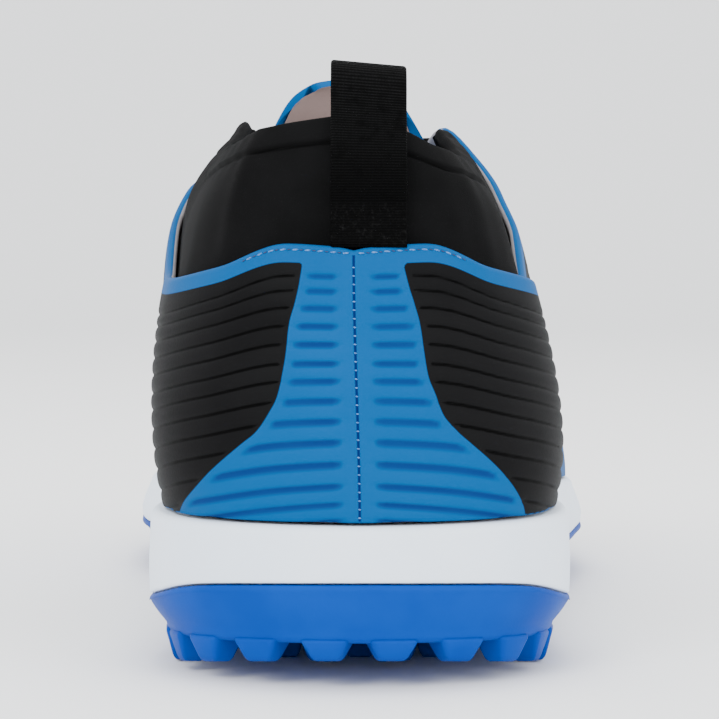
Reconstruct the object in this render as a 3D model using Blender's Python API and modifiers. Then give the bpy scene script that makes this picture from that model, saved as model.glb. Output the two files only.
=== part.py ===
"""A right-foot turf shoe: outsole, midsole, upper, collar, tongue, insole, pull loop and laces.

The toe points along +Y, +X is the outer side and +Z is up; lengths are in metres.  Each piece
is worked out from the sizes below and from short tables of sections, which hold shares of them.
"""

import math
from collections import namedtuple

import bmesh
import bpy
from mathutils import Vector

MM = 0.001

# Overall sizes
LENGTH = 288 * MM
BALL_WIDTH = 103 * MM
HEEL_WIDTH = 74.4 * MM
INSTEP_HEIGHT = 99.5 * MM
HEEL_HEIGHT = 72 * MM
VAMP_HEIGHT = 62.5 * MM
OUTER_DIP = 65 * MM
INNER_DIP = 68 * MM
THROAT_GAP = 43.5 * MM
INSTEP_SHIFT = 3.25 * MM
TOE_SHIFT = 8.6 * MM
SEAM_LEAN = 1.0 * MM

# Sole
HEEL_STACK = 27.2 * MM
FORE_STACK = 21 * MM
TOE_STACK = 17.5 * MM
HEEL_WRAP = 17.8 * MM
SIDE_WRAP = 11 * MM
HEEL_BEVEL = 5.6 * MM
BEVEL_ROOT = 0.4
TOE_SPRING = 9.5 * MM
ARCH_LIFT = 2.4 * MM
PLATE = 2.6 * MM
CUP_WALL = 2.2 * MM
EDGE_ROUND = 1.6 * MM
FORE_FLARE = 1.8 * MM
SIDE_TAPER = 3.0 * MM

# Turf lugs
LUG_HEIGHT = 5.5 * MM
LUG_LENGTH = 8.6 * MM
LUG_WIDTH = 7 * MM
LUG_PITCH = 13.2 * MM
LUG_MARGIN = 6.2 * MM
LUG_TAPER = 0.62
LUG_ROOT = 1.0 * MM

# Upper and what is inside it
WALL = 2.0 * MM
UPPER_INSET = 2.4 * MM
UPPER_LEAN = 1.2 * MM
UPPER_SEAT = 0.55 * MM
GAP = 0.3 * MM
INSOLE_THICK = 3.4 * MM
INSOLE_PLAY = 0.9 * MM
COLLAR_WALL = 2.6 * MM
COLLAR_HEIGHT = 94.5 * MM
COLLAR_PUFF = 3.0 * MM
COLLAR_ROOT = 0.74
COLLAR_TURN = 0.99
COLLAR_HIDDEN = 0.4
TONGUE_WALL = 3.0 * MM
TONGUE_RISE = 12.6 * MM
TONGUE_CROWN = 2.2 * MM

# Shares of the way from the heel's seam to the toe, and up a section of the upper
THROAT_TOP = 0.505
THROAT_END = 0.700
COLLAR_END = 0.495
EYELET_UP = 0.87
EYELET_MARGIN = 0.026
THROAT_LIP_UP = 0.985
TONGUE_WING_UPS = (0.84, 0.89, 0.94, 1.0)
TONGUE_ROOT = 0.69

# Pull loop and lace
LOOP_WIDTH = 12.6 * MM
LOOP_THICK = 1.5 * MM
LOOP_TOP = 103.4 * MM
LOOP_INSIDE = 82 * MM
LOOP_SHIFT = 1.5 * MM
LACE_WIDTH = 6.5 * MM
LACE_THICK = 1.3 * MM
LACE_LIFT = 1.8 * MM
EYELET_PAIRS = 5

Edge = namedtuple("Edge", "along inner outer")
Level = namedtuple("Level", "along drop thin bevel spring wrap arch")
Rib = namedtuple("Rib", "at across along height low_out low_up high_out high_down")
Hem = namedtuple("Hem", "at across along height")
Flap = namedtuple("Flap", "rise width back")

# Plan of the sole: shares of its length, and of half the heel's or the ball's width
PLAN = (
    Edge(0.025, 0.595, 0.595),
    Edge(0.070, 0.885, 0.885),
    Edge(0.140, 1.000, 1.000),
    Edge(0.240, 0.955, 0.990),
    Edge(0.360, 0.810, 0.940),
    Edge(0.460, 0.750, 0.915),
    Edge(0.560, 0.835, 0.930),
    Edge(0.640, 0.950, 0.985),
    Edge(0.710, 0.995, 0.970),
    Edge(0.790, 0.990, 0.925),
    Edge(0.870, 0.915, 0.785),
    Edge(0.940, 0.750, 0.550),
    Edge(0.984, 0.500, 0.240),
)
BALL_STARTS = 0.25
BALL_FULL = 0.60

# Heights of the sole along its length: the share of each size that has come in there
LEVELS = (
    Level(0.00, 0.00, 0.0, 1.00, 0.00, 1.00, 0.0),
    Level(0.04, 0.00, 0.0, 0.68, 0.00, 0.80, 0.0),
    Level(0.09, 0.00, 0.0, 0.32, 0.00, 0.38, 0.0),
    Level(0.14, 0.00, 0.0, 0.03, 0.00, 0.08, 0.0),
    Level(0.16, 0.00, 0.0, 0.00, 0.00, 0.04, 0.0),
    Level(0.30, 0.05, 0.0, 0.00, 0.00, 0.00, 0.4),
    Level(0.42, 0.35, 0.0, 0.00, 0.00, 0.00, 1.0),
    Level(0.55, 0.78, 0.0, 0.00, 0.00, 0.00, 0.3),
    Level(0.66, 1.00, 0.0, 0.00, 0.00, 0.00, 0.0),
    Level(0.74, 1.00, 0.2, 0.00, 0.00, 0.00, 0.0),
    Level(0.84, 1.00, 0.6, 0.00, 0.18, 0.00, 0.0),
    Level(0.92, 1.00, 0.9, 0.00, 0.52, 0.00, 0.0),
    Level(1.00, 1.00, 1.0, 0.00, 1.00, 0.00, 0.0),
)


def upper_ribs(outer):
    """Sections of one side of the upper, from the heel's seam to the toe.

    Each gives the point where it ends, on the topline, the throat's edge or the vamp's ridge, and
    how far its two ends swing out (shares of half the ball) and up or down (shares of its rise).
    """
    ankle = HEEL_WIDTH / 2
    throat = THROAT_GAP / 2
    if outer:
        rows = (
            Rib(0.000, -SEAM_LEAN, 0.024, HEEL_HEIGHT, 0.040, 0.30, 0.060, 0.34),
            Rib(0.045, 0.300 * ankle, 0.031, 1.010 * HEEL_HEIGHT, 0.046, 0.30, 0.062, 0.33),
            Rib(0.090, 0.560 * ankle, 0.052, 0.972 * HEEL_HEIGHT, 0.052, 0.30, 0.064, 0.32),
            Rib(0.170, 0.820 * ankle, 0.128, 1.035 * OUTER_DIP, 0.064, 0.32, 0.064, 0.30),
            Rib(0.270, 0.855 * ankle, 0.257, 1.012 * OUTER_DIP, 0.060, 0.32, 0.055, 0.30),
            Rib(0.360, 0.855 * ankle, 0.370, 0.765 * INSTEP_HEIGHT, 0.060, 0.32, 0.080, 0.28),
            Rib(0.420, 0.784 * ankle, 0.434, 0.855 * INSTEP_HEIGHT, 0.050, 0.33, 0.120, 0.28),
            Rib(0.470, 1.230 * throat, 0.487, 0.935 * INSTEP_HEIGHT, 0.040, 0.32, 0.180, 0.26),
            Rib(0.505, 1.000 * throat, 0.524, INSTEP_HEIGHT, 0.030, 0.32, 0.230, 0.22),
        )
    else:
        rows = (
            Rib(0.000, SEAM_LEAN, 0.024, HEEL_HEIGHT, 0.040, 0.30, 0.060, 0.34),
            Rib(0.045, 0.330 * ankle, 0.031, 1.010 * HEEL_HEIGHT, 0.046, 0.30, 0.062, 0.33),
            Rib(0.090, 0.610 * ankle, 0.052, 0.972 * HEEL_HEIGHT, 0.052, 0.30, 0.064, 0.32),
            Rib(0.170, 0.893 * ankle, 0.128, 0.995 * INNER_DIP, 0.064, 0.32, 0.064, 0.30),
            Rib(0.270, 0.982 * ankle, 0.257, INNER_DIP, 0.060, 0.32, 0.055, 0.30),
            Rib(0.360, 1.013 * ankle, 0.366, 0.779 * INSTEP_HEIGHT, 0.060, 0.32, 0.080, 0.28),
            Rib(0.420, 0.950 * ankle, 0.426, 0.860 * INSTEP_HEIGHT, 0.050, 0.33, 0.120, 0.28),
            Rib(0.470, 1.262 * throat, 0.472, 0.920 * INSTEP_HEIGHT, 0.040, 0.32, 0.180, 0.26),
            Rib(0.505, 1.000 * throat, 0.516, INSTEP_HEIGHT, 0.030, 0.32, 0.230, 0.22),
        )
    return rows + (
        Rib(0.590, 0.610 * throat, 0.620, 0.820 * INSTEP_HEIGHT, 0.004, 0.34, 0.370, 0.17),
        Rib(0.655, 0.425 * throat, 0.708, 1.075 * VAMP_HEIGHT, 0.000, 0.35, 0.460, 0.07),
        Rib(0.700, 0.0, 0.738, VAMP_HEIGHT, 0.004, 0.36, 0.520, 0.03),
        Rib(0.820, 0.0, 0.826, 0.900 * VAMP_HEIGHT, 0.030, 0.40, 0.460, 0.03),
        Rib(0.920, 0.0, 0.882, 0.835 * VAMP_HEIGHT, 0.060, 0.45, 0.370, 0.07),
        Rib(1.000, 0.0, 0.908, 0.795 * VAMP_HEIGHT, 0.052, 0.50, 0.300, 0.13),
    )


def hem_rows(outer):
    """The collar's upper edge on one side, from the back of the heel to its front corner."""
    ankle = HEEL_WIDTH / 2
    if outer:
        return (
            Hem(0.000, -SEAM_LEAN, 0.045, COLLAR_HEIGHT),
            Hem(0.045, 0.195 * ankle, 0.049, 0.972 * COLLAR_HEIGHT),
            Hem(0.090, 0.330 * ankle, 0.060, 0.947 * COLLAR_HEIGHT),
            Hem(0.170, 0.510 * ankle, 0.132, 0.925 * COLLAR_HEIGHT),
            Hem(0.270, 0.585 * ankle, 0.250, 0.908 * COLLAR_HEIGHT),
            Hem(0.360, 0.570 * ankle, 0.347, 0.932 * COLLAR_HEIGHT),
            Hem(0.420, 0.540 * ankle, 0.424, 0.984 * COLLAR_HEIGHT),
            Hem(0.505, 0.446 * ankle, 0.510, 1.048 * COLLAR_HEIGHT),
        )
    return (
        Hem(0.000, SEAM_LEAN, 0.045, COLLAR_HEIGHT),
        Hem(0.090, 0.400 * ankle, 0.060, 0.979 * COLLAR_HEIGHT),
        Hem(0.170, 0.600 * ankle, 0.132, 0.955 * COLLAR_HEIGHT),
        Hem(0.270, 0.716 * ankle, 0.250, 0.936 * COLLAR_HEIGHT),
        Hem(0.360, 0.730 * ankle, 0.340, 0.958 * COLLAR_HEIGHT),
        Hem(0.420, 0.700 * ankle, 0.410, 1.000 * COLLAR_HEIGHT),
        Hem(0.505, 0.650 * ankle, 0.503, 1.064 * COLLAR_HEIGHT),
    )


# The tongue's free end above the throat: shares of its rise, of the throat's gap, and of its lean
TONGUE_TOP = (
    Flap(0.00, 0.96, 0.00),
    Flap(0.30, 0.82, 0.30),
    Flap(0.60, 0.72, 0.55),
    Flap(0.85, 0.60, 0.80),
    Flap(1.00, 0.42, 1.00),
)


def mix(first, second, share):
    return first + (second - first) * share


def ease(low, high, value):
    """0 below low, 1 above high, and a smooth rise between."""
    share = min(max((value - low) / (high - low), 0.0), 1.0)
    return share * share * (3 - 2 * share)


def slopes(spots, values):
    """Slope at each row, kept low enough that the curve never overshoots its rows."""
    steps = [(b - a) / (t - s) for a, b, s, t in zip(values, values[1:], spots, spots[1:])]
    inner = [0.0 if a * b <= 0 else 2 * a * b / (a + b) for a, b in zip(steps, steps[1:])]
    return [steps[0]] + inner + [steps[-1]]


def read(table, column, at):
    """Value of a column where the table's first column is at, along a smooth curve."""
    spots = [row[0] for row in table]
    values = [getattr(row, column) for row in table]
    tilt = slopes(spots, values)
    at = min(max(at, spots[0]), spots[-1])
    last = max(i for i, spot in enumerate(spots[:-1]) if spot <= at)
    span = spots[last + 1] - spots[last]
    share = (at - spots[last]) / span
    ends = mix(values[last], values[last + 1], share * share * (3 - 2 * share))
    lead = share * (1 - share) ** 2 * tilt[last]
    trail = share * share * (share - 1) * tilt[last + 1]
    return ends + span * (lead + trail)


def half_width(along):
    return mix(HEEL_WIDTH, BALL_WIDTH, ease(BALL_STARTS, BALL_FULL, along)) / 2


def plan_points(fine=16):
    """The sole's outline as two fine runs of points, from heel centre to toe tip."""
    outer = [Vector((row.outer * half_width(row.along), row.along * LENGTH)) for row in PLAN]
    inner = [Vector((-row.inner * half_width(row.along), row.along * LENGTH)) for row in PLAN]
    loop = [Vector((0, 0))] + outer + [Vector((-TOE_SHIFT, LENGTH))] + inner[::-1]
    count = len(loop)
    run = []
    for i in range(count):
        before, start, end, after = (loop[(i + k) % count] for k in (-1, 0, 1, 2))
        span = (end - start).length
        first = (end - before) / ((start - before).length + span) * span
        second = (after - start) / ((after - end).length + span) * span
        for step in range(fine):
            share = step / fine
            keep = 2 * share**3 - 3 * share**2 + 1
            point = start * keep + end * (1 - keep)
            point += first * (share * (1 - share) ** 2) + second * (share * share * (share - 1))
            run.append(point)
    around = list(zip(run, run[-1:] + run[:-1], run[1:] + run[:1]))
    marks = [(point, (after - before).normalized()) for point, before, after in around]
    toe = fine * (len(outer) + 1)
    return marks[: toe + 1], [marks[0]] + marks[: toe - 1 : -1]


def measured(marks):
    """The run's points, its headings and the share of its length at each point."""
    lengths = [0.0]
    for (a, _), (b, _) in zip(marks, marks[1:]):
        lengths.append(lengths[-1] + (b - a).length)
    points, headings = zip(*marks)
    return points, headings, [length / lengths[-1] for length in lengths]


OUTER_RUN, INNER_RUN = (measured(marks) for marks in plan_points())


def rim(outer, at, inset=0.0):
    """Plan point at a share of one side's outline, and its outward direction."""
    points, headings, spots = OUTER_RUN if outer else INNER_RUN
    last = max(i for i, spot in enumerate(spots[:-1]) if spot <= at)
    part = (at - spots[last]) / (spots[last + 1] - spots[last])
    point = points[last].lerp(points[last + 1], part)
    heading = headings[last].lerp(headings[last + 1], part).normalized()
    out = Vector((heading.y, -heading.x))
    return point - out * inset, out


def spring_at(along):
    return TOE_SPRING * read(LEVELS, "spring", along)


def ground_at(along):
    """Height of the lugs' ends above the floor."""
    return HEEL_BEVEL * read(LEVELS, "bevel", along) + spring_at(along)


def base_at(along):
    """Height of the outsole's underside, between its lugs."""
    bevel = BEVEL_ROOT * HEEL_BEVEL * read(LEVELS, "bevel", along)
    return spring_at(along) + LUG_HEIGHT + bevel + ARCH_LIFT * read(LEVELS, "arch", along)


def wrap_at(along):
    """Height of the line between rubber and foam."""
    return spring_at(along) + mix(SIDE_WRAP, HEEL_WRAP, read(LEVELS, "wrap", along))


def stack_at(along):
    """Height of the midsole's upper rim."""
    fore = mix(FORE_STACK, TOE_STACK, read(LEVELS, "thin", along))
    return spring_at(along) + mix(HEEL_STACK, fore, read(LEVELS, "drop", along))


def ring(spots, inset, height, flare=0.0):
    """A closed ring of points, in from the outline, with its height worked out along the shoe.

    A flare draws the ring further in over the forefoot, so that the side leans there.
    """
    sides = [(True, at) for at in spots] + [(False, at) for at in spots[-2:0:-1]]
    points = []
    for outer, at in sides:
        edge = rim(outer, at)[0]
        lean = flare * read(LEVELS, "drop", edge.y / LENGTH)
        plan = rim(outer, at, inset + lean)[0]
        points.append(Vector((plan.x, plan.y, height(edge.y / LENGTH))))
    return points


def ladder(mesh, loop, upwards):
    """Closes a ring with a face from each outer point across to the inner one."""
    count = len(loop)
    for i in range(count // 2):
        corners = [loop[i], loop[i + 1], loop[-i - 1], loop[-i % count]]
        corners = list(dict.fromkeys(corners))
        mesh.faces.new(corners if upwards else corners[::-1])


def stacked(name, rings):
    """A closed body through rings, first the underside's and last the top's."""
    mesh = bmesh.new()
    loops = [[mesh.verts.new(point) for point in points] for points in rings]
    for lower, upper in zip(loops, loops[1:]):
        for i in range(len(lower)):
            k = (i + 1) % len(lower)
            mesh.faces.new((lower[i], lower[k], upper[k], upper[i]))
    ladder(mesh, loops[0], False)
    ladder(mesh, loops[-1], True)
    bmesh.ops.recalc_face_normals(mesh, faces=mesh.faces)
    return as_object(name, mesh)


def as_object(name, mesh):
    data = bpy.data.meshes.new(name)
    mesh.to_mesh(data)
    mesh.free()
    return bpy.data.objects.new(name, data)


def shares(count):
    return [i / count for i in range(count + 1)]


def lug_places():
    """Centre and heading of every lug: a row along the outline, then staggered rows within it."""
    places = []
    for outer, (run, _, _) in ((True, OUTER_RUN), (False, INNER_RUN)):
        length = sum((b - a).length for a, b in zip(run, run[1:]))
        count = round(length / LUG_PITCH)
        for i in range(count):
            at = (i + 0.5) / count
            plan, out = rim(outer, at, LUG_MARGIN)
            places.append((plan, math.atan2(out.y, out.x) + math.pi / 2))
    reach = LUG_MARGIN + LUG_PITCH * 0.84
    rows = round((LENGTH - 2 * reach) / LUG_PITCH)
    for row in range(rows + 1):
        y = reach + row * (LENGTH - 2 * reach) / rows
        stagger = 0.5 * (row % 2)
        count = round(BALL_WIDTH / LUG_PITCH)
        for k in range(-count, count):
            spot = Vector(((k + stagger) * LUG_PITCH, y))
            if all(clear_of(spot, run[0], reach) for run in (OUTER_RUN, INNER_RUN)):
                places.append((spot, 0.0))
    return places


def clear_of(spot, points, reach):
    """Whether a spot lies inside one side of the outline, and at least reach from it."""
    nearest = min(points, key=lambda point: (point - spot).length)
    return (nearest - spot).length >= reach and abs(spot.x) < BALL_WIDTH / 2 - reach


def lugs():
    """All the lugs as one mesh of tapered blocks, rooted in the plate and cut to the ground line."""
    mesh = bmesh.new()
    for plan, heading in lug_places():
        made = bmesh.ops.create_cube(mesh, size=1.0)["verts"]
        for vert in made:
            low = vert.co.z < 0
            size = LUG_TAPER if low else 1.0
            x = vert.co.x * LUG_LENGTH * size
            y = vert.co.y * LUG_WIDTH * size
            vert.co.x = plan.x + x * math.cos(heading) - y * math.sin(heading)
            vert.co.y = plan.y + x * math.sin(heading) + y * math.cos(heading)
            along = vert.co.y / LENGTH
            vert.co.z = ground_at(along) if low else base_at(along) + LUG_ROOT
    return as_object("lug_blocks", mesh)


def build_outsole(helpers):
    """Rubber cup: sloping side, wrap and floor, with the lugs joined on below."""
    spots = shares(36)
    body = stacked(
        "outsole",
        (
            ring(spots, SIDE_TAPER + EDGE_ROUND, base_at),
            ring(spots, SIDE_TAPER, lambda along: base_at(along) + EDGE_ROUND),
            ring(spots, SIDE_TAPER * 0.38, lambda along: mix(base_at(along), wrap_at(along), 0.5)),
            ring(spots, 0.0, lambda along: wrap_at(along) - EDGE_ROUND / 2),
            ring(spots, EDGE_ROUND / 4, wrap_at),
            ring(spots, CUP_WALL, wrap_at),
            ring(spots, CUP_WALL + EDGE_ROUND, lambda along: base_at(along) + PLATE),
        ),
    )
    blocks = lugs()
    helpers.objects.link(blocks)
    blocks.hide_render = True
    blocks.display_type = "WIRE"
    join = body.modifiers.new("lugs", "BOOLEAN")
    join.operation = "UNION"
    join.use_self = True
    join.object = blocks
    return body


def build_midsole():
    """Foam: a block seated in the outsole's cup, with a rounded upper rim."""
    spots = shares(36)
    return stacked(
        "midsole",
        (
            ring(spots, CUP_WALL + EDGE_ROUND + 1.5 * GAP, lambda a: base_at(a) + PLATE + GAP),
            ring(spots, CUP_WALL + 1.5 * GAP, lambda along: wrap_at(along) + GAP),
            ring(spots, EDGE_ROUND / 4, lambda along: wrap_at(along) + GAP),
            ring(spots, 0.0, lambda along: mix(wrap_at(along), stack_at(along), 0.25)),
            ring(spots, EDGE_ROUND / 6, lambda along: stack_at(along) - EDGE_ROUND, FORE_FLARE),
            ring(spots, EDGE_ROUND, stack_at, FORE_FLARE),
        ),
    )


def build_insole():
    """Footbed liner, clear of the upper's wall all round."""
    spots = shares(36)
    inset = UPPER_INSET + WALL + INSOLE_PLAY
    return stacked(
        "insole",
        (
            ring(spots, inset, lambda along: stack_at(along) + GAP, UPPER_LEAN),
            ring(spots, inset - GAP, lambda a: stack_at(a) + GAP + INSOLE_THICK / 2, UPPER_LEAN),
            ring(spots, inset + EDGE_ROUND, lambda a: stack_at(a) + GAP + INSOLE_THICK, UPPER_LEAN),
        ),
    )


def upper_point(outer, at, up):
    """Outside of the upper: a share of the way round one side, and up its section."""
    ribs = UPPER_RIBS[outer]
    lean = UPPER_LEAN * read(LEVELS, "drop", rim(outer, at)[0].y / LENGTH)
    foot, out = rim(outer, at, UPPER_INSET + lean)
    low = Vector((foot.x, foot.y, stack_at(rim(outer, at)[0].y / LENGTH) + UPPER_SEAT))
    across = read(ribs, "across", at) * (1 if outer else -1) - middle_at(at)
    high = Vector((across, read(ribs, "along", at) * LENGTH, read(ribs, "height", at)))
    rise = high.z - low.z
    out = Vector((out.x, out.y, 0))
    half = BALL_WIDTH / 2
    first = low + out * read(ribs, "low_out", at) * half
    first.z += read(ribs, "low_up", at) * rise
    second = high + out * read(ribs, "high_out", at) * half
    second.z -= read(ribs, "high_down", at) * rise
    back = 1 - up
    return low * back**3 + first * 3 * back**2 * up + second * 3 * back * up**2 + high * up**3


def middle_at(at):
    """How far the ridge of the instep and vamp lies to the inner side."""
    return mix(INSTEP_SHIFT * ease(0.42, THROAT_TOP, at), TOE_SHIFT, 0.6 * ease(THROAT_END, 1.0, at))


UPPER_RIBS = {True: upper_ribs(True), False: upper_ribs(False)}
UPPER_SPOTS = (0, 0.09, 0.17, 0.27, 0.36, 0.42, 0.47, THROAT_TOP, 0.59, 0.655, THROAT_END)
UPPER_SPOTS += (0.76, 0.82, 0.87, 0.92, 0.96, 1.0)


def outward(outer, at, up):
    """Outward direction of the upper's surface."""
    step = 0.004
    before = upper_point(outer if at >= step else not outer, abs(at - step), up)
    beyond = at + step > 1
    ahead = upper_point(not outer if beyond else outer, 2 - at - step if beyond else at + step, up)
    ahead -= before
    above = upper_point(outer, at, min(up + step, 1)) - upper_point(outer, at, max(up - step, 0))
    normal = ahead.cross(above) if outer else above.cross(ahead)
    return normal.normalized()


def inside(outer, at, up, depth):
    """Point under the upper's outer surface, or above it for a depth below zero."""
    return upper_point(outer, at, up) - outward(outer, at, up) * depth


def between(spots, steps):
    """The spots with evenly spaced ones put in between."""
    filled = [mix(a, b, k / steps) for a, b in zip(spots, spots[1:]) for k in range(steps)]
    return filled + [spots[-1]]


def sheet(mesh, rows):
    """Faces through rows of points that have as many points each."""
    grid = [[mesh.verts.new(point) for point in row] for row in rows]
    for row, following in zip(grid, grid[1:]):
        for i in range(len(row) - 1):
            mesh.faces.new((row[i], following[i], following[i + 1], row[i + 1]))


def shell(name, sheets, thickness, even=True):
    """Open sheets welded along shared edges, facing out, with a wall on the inside."""
    mesh = bmesh.new()
    for rows in sheets:
        sheet(mesh, rows)
    bmesh.ops.remove_doubles(mesh, verts=mesh.verts, dist=0.02 * MM)
    body = as_object(name, mesh)
    wall = body.modifiers.new("wall", "SOLIDIFY")
    wall.thickness = thickness
    wall.offset = -1
    wall.use_even_offset = even
    return body


def build_upper():
    spots = between(UPPER_SPOTS, 3)
    ups = shares(8)
    outer = [[upper_point(True, at, up) for up in ups] for at in spots]
    inner = [[upper_point(False, at, up) for up in ups] for at in reversed(spots)]
    return shell("upper", (outer, inner), WALL)


def collar_point(outer, at, up):
    """Outside of the collar: up the inside of the upper, then over to its hem."""
    if up <= COLLAR_HIDDEN:
        share = up / COLLAR_HIDDEN
        return inside(outer, at, mix(COLLAR_ROOT, COLLAR_TURN, share), WALL + mix(1.0, 1.6, share) * GAP)
    root = inside(outer, at, COLLAR_ROOT, WALL + GAP)
    edge = inside(outer, at, COLLAR_TURN, WALL + 1.6 * GAP)
    side = 1 if outer else -1
    rows = HEMS[outer]
    high = Vector((side * read(rows, "across", at), read(rows, "along", at) * LENGTH, 0))
    high.z = read(rows, "height", at)
    share = (up - COLLAR_HIDDEN) / (1 - COLLAR_HIDDEN)
    leave = (edge - root).normalized() * (high - edge).length * 0.45
    puff = Vector((*rim(outer, at)[1], 0)) * COLLAR_PUFF
    first = edge + leave
    second = mix(edge, high, 0.62) + puff
    back = 1 - share
    return edge * back**3 + first * 3 * back**2 * share + second * 3 * back * share**2 + high * share**3


HEMS = {True: hem_rows(True), False: hem_rows(False)}


def build_collar():
    spots = between([at for at in UPPER_SPOTS if at < COLLAR_END] + [COLLAR_END], 3)
    ups = shares(8)
    outer = [[collar_point(True, at, up) for up in ups] for at in spots]
    inner = [[collar_point(False, at, up) for up in ups] for at in reversed(spots)]
    return shell("collar", (inner, outer), COLLAR_WALL)


def tongue_row(at):
    """Outer surface of the tongue across the throat: two wings under the upper, and a bridge."""
    depth = WALL + 2.4 * GAP + (COLLAR_WALL + GAP) * (1 - ease(THROAT_TOP + 0.02, 0.60, at))
    left = [inside(False, at, up, depth) for up in TONGUE_WING_UPS]
    right = [inside(True, at, up, depth) for up in reversed(TONGUE_WING_UPS)]
    row = left
    for share in shares(5)[1:-1]:
        point = mix(left[-1], right[0], share)
        row = row + [point + Vector((0, 0, TONGUE_CROWN * 4 * share * (1 - share)))]
    return row + right


def build_tongue():
    spots = [mix(TONGUE_ROOT, THROAT_TOP + 0.004, share) for share in shares(12)]
    rows = [tongue_row(at) for at in spots]
    last = rows[-1]
    heart = sum(last, Vector()) / len(last)
    for flap in TONGUE_TOP[1:]:
        lift = Vector((0, -0.35 * flap.back, 1.0 * flap.rise)) * TONGUE_RISE
        size = flap.width / TONGUE_TOP[0].width
        rows.append([heart + (point - heart) * size + lift for point in last])
    return shell("tongue", (rows,), TONGUE_WALL, even=False)


def strip(mesh, path, sides, width, thickness):
    """A flat strip along a path; sides gives the direction of its width at each point."""
    rings = []
    for i, (point, side) in enumerate(zip(path, sides)):
        ahead = path[min(i + 1, len(path) - 1)] - path[max(i - 1, 0)]
        lift = side.cross(ahead).normalized() * thickness / 2
        reach = side.normalized() * width / 2
        corners = (point - reach - lift, point + reach - lift, point + reach + lift, point - reach + lift)
        rings.append([mesh.verts.new(corner) for corner in corners])
    for a, b in zip(rings, rings[1:]):
        for i in range(4):
            k = (i + 1) % 4
            mesh.faces.new((a[i], a[k], b[k], b[i]))
    mesh.faces.new(rings[0][::-1])
    mesh.faces.new(rings[-1])


def collar_inside(across, up):
    """Y of the collar's inner face where it reaches a distance across, at a share of its height."""
    at = 0.0
    while collar_point(True, at, up).x < across:
        at += 0.002
    slant = (collar_point(True, at + 0.004, up) - collar_point(True, at, up)).normalized()
    return collar_point(True, at, up).y + COLLAR_WALL / slant.x


def build_pull_loop():
    """Webbing folded over the back of the collar, one leg outside it and one inside."""
    clear = LOOP_THICK / 2 + 1.5 * GAP
    outside = [collar_point(True, 0.0, up) for up in (0.43, 0.55, 0.70, 0.85, 1.0)]
    back = [point - Vector((0, clear, 0)) for point in outside]
    hem = back[-1]
    edge = LOOP_SHIFT + LOOP_WIDTH / 2
    front = max(collar_inside(edge, 1.0), collar_inside(edge, 0.85)) + clear
    middle = (hem.y + front) / 2
    radius = (front - hem.y) / 2
    bend = LOOP_TOP - LOOP_THICK / 2 - radius
    path = back
    for turn in range(0, 181, 30):
        angle = math.radians(turn)
        path.append(Vector((0, middle - radius * math.cos(angle), bend + radius * math.sin(angle))))
    path.append(Vector((0, front + GAP, LOOP_INSIDE)))
    for point in path:
        point.x = LOOP_SHIFT
    mesh = bmesh.new()
    strip(mesh, path, [Vector((1, 0, 0))] * len(path), LOOP_WIDTH, LOOP_THICK)
    bmesh.ops.recalc_face_normals(mesh, faces=mesh.faces)
    return as_object("pull_loop", mesh)


def eyelet_spots():
    low = THROAT_END - EYELET_MARGIN
    high = THROAT_TOP + EYELET_MARGIN
    return [mix(low, high, share) for share in shares(EYELET_PAIRS - 1)]


def lace_path(first, first_outer, second):
    """From an eyelet on one side, over both throat edges, to one on the other side."""
    above = -(LACE_THICK / 2 + LACE_LIFT)
    start = inside(first_outer, first, EYELET_UP, above)
    near = inside(first_outer, mix(first, second, 0.25), THROAT_LIP_UP, above)
    far = inside(not first_outer, mix(first, second, 0.75), THROAT_LIP_UP, above)
    end = inside(not first_outer, second, EYELET_UP, above)
    return [start, near, mix(near, far, 0.5), far, end]


def build_laces(helpers):
    """A flat lace: a bar over the lowest eyelets, then crossings up to the highest."""
    spots = eyelet_spots()
    runs = [(spots[0], True, spots[0])]
    for low, high in zip(spots, spots[1:]):
        runs.append((low, True, high))
        runs.append((low, False, high))
    pieces = []
    for i, run in enumerate(runs):
        path = lace_path(*run)
        heading = Vector((0, 1, -0.5))
        sides = [heading - heading.project(path[-1] - path[0])] * len(path)
        mesh = bmesh.new()
        strip(mesh, path, sides, LACE_WIDTH, LACE_THICK)
        bmesh.ops.recalc_face_normals(mesh, faces=mesh.faces)
        pieces.append(as_object("laces" if i == 0 else f"lace_run_{i}", mesh))
    lace = pieces[0]
    for piece in pieces[1:]:
        helpers.objects.link(piece)
        piece.hide_render = True
        piece.display_type = "WIRE"
        join = lace.modifiers.new(piece.name, "BOOLEAN")
        join.operation = "UNION"
        join.object = piece
    return lace


def finish(body, colour, roughness, angle=40):
    """Gives a piece its material and smooth shading."""
    material = bpy.data.materials.new(body.name)
    material.use_nodes = True
    shader = material.node_tree.nodes["Principled BSDF"]
    shader.inputs["Base Color"].default_value = (*colour, 1.0)
    shader.inputs["Roughness"].default_value = roughness
    shader.inputs["Metallic"].default_value = 0.0
    body.data.materials.append(material)
    body.data.shade_smooth()
    body.data.set_sharp_from_angle(angle=math.radians(angle))


def centre(bodies, helpers):
    """Puts the origin on the floor, below the middle of the sole's outline."""
    across = [point.x for points, _, _ in (OUTER_RUN, INNER_RUN) for point in points]
    shift = Vector((-(max(across) + min(across)) / 2, -LENGTH / 2, 0))
    for body in list(bodies) + list(helpers.objects):
        body.location += shift


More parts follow.
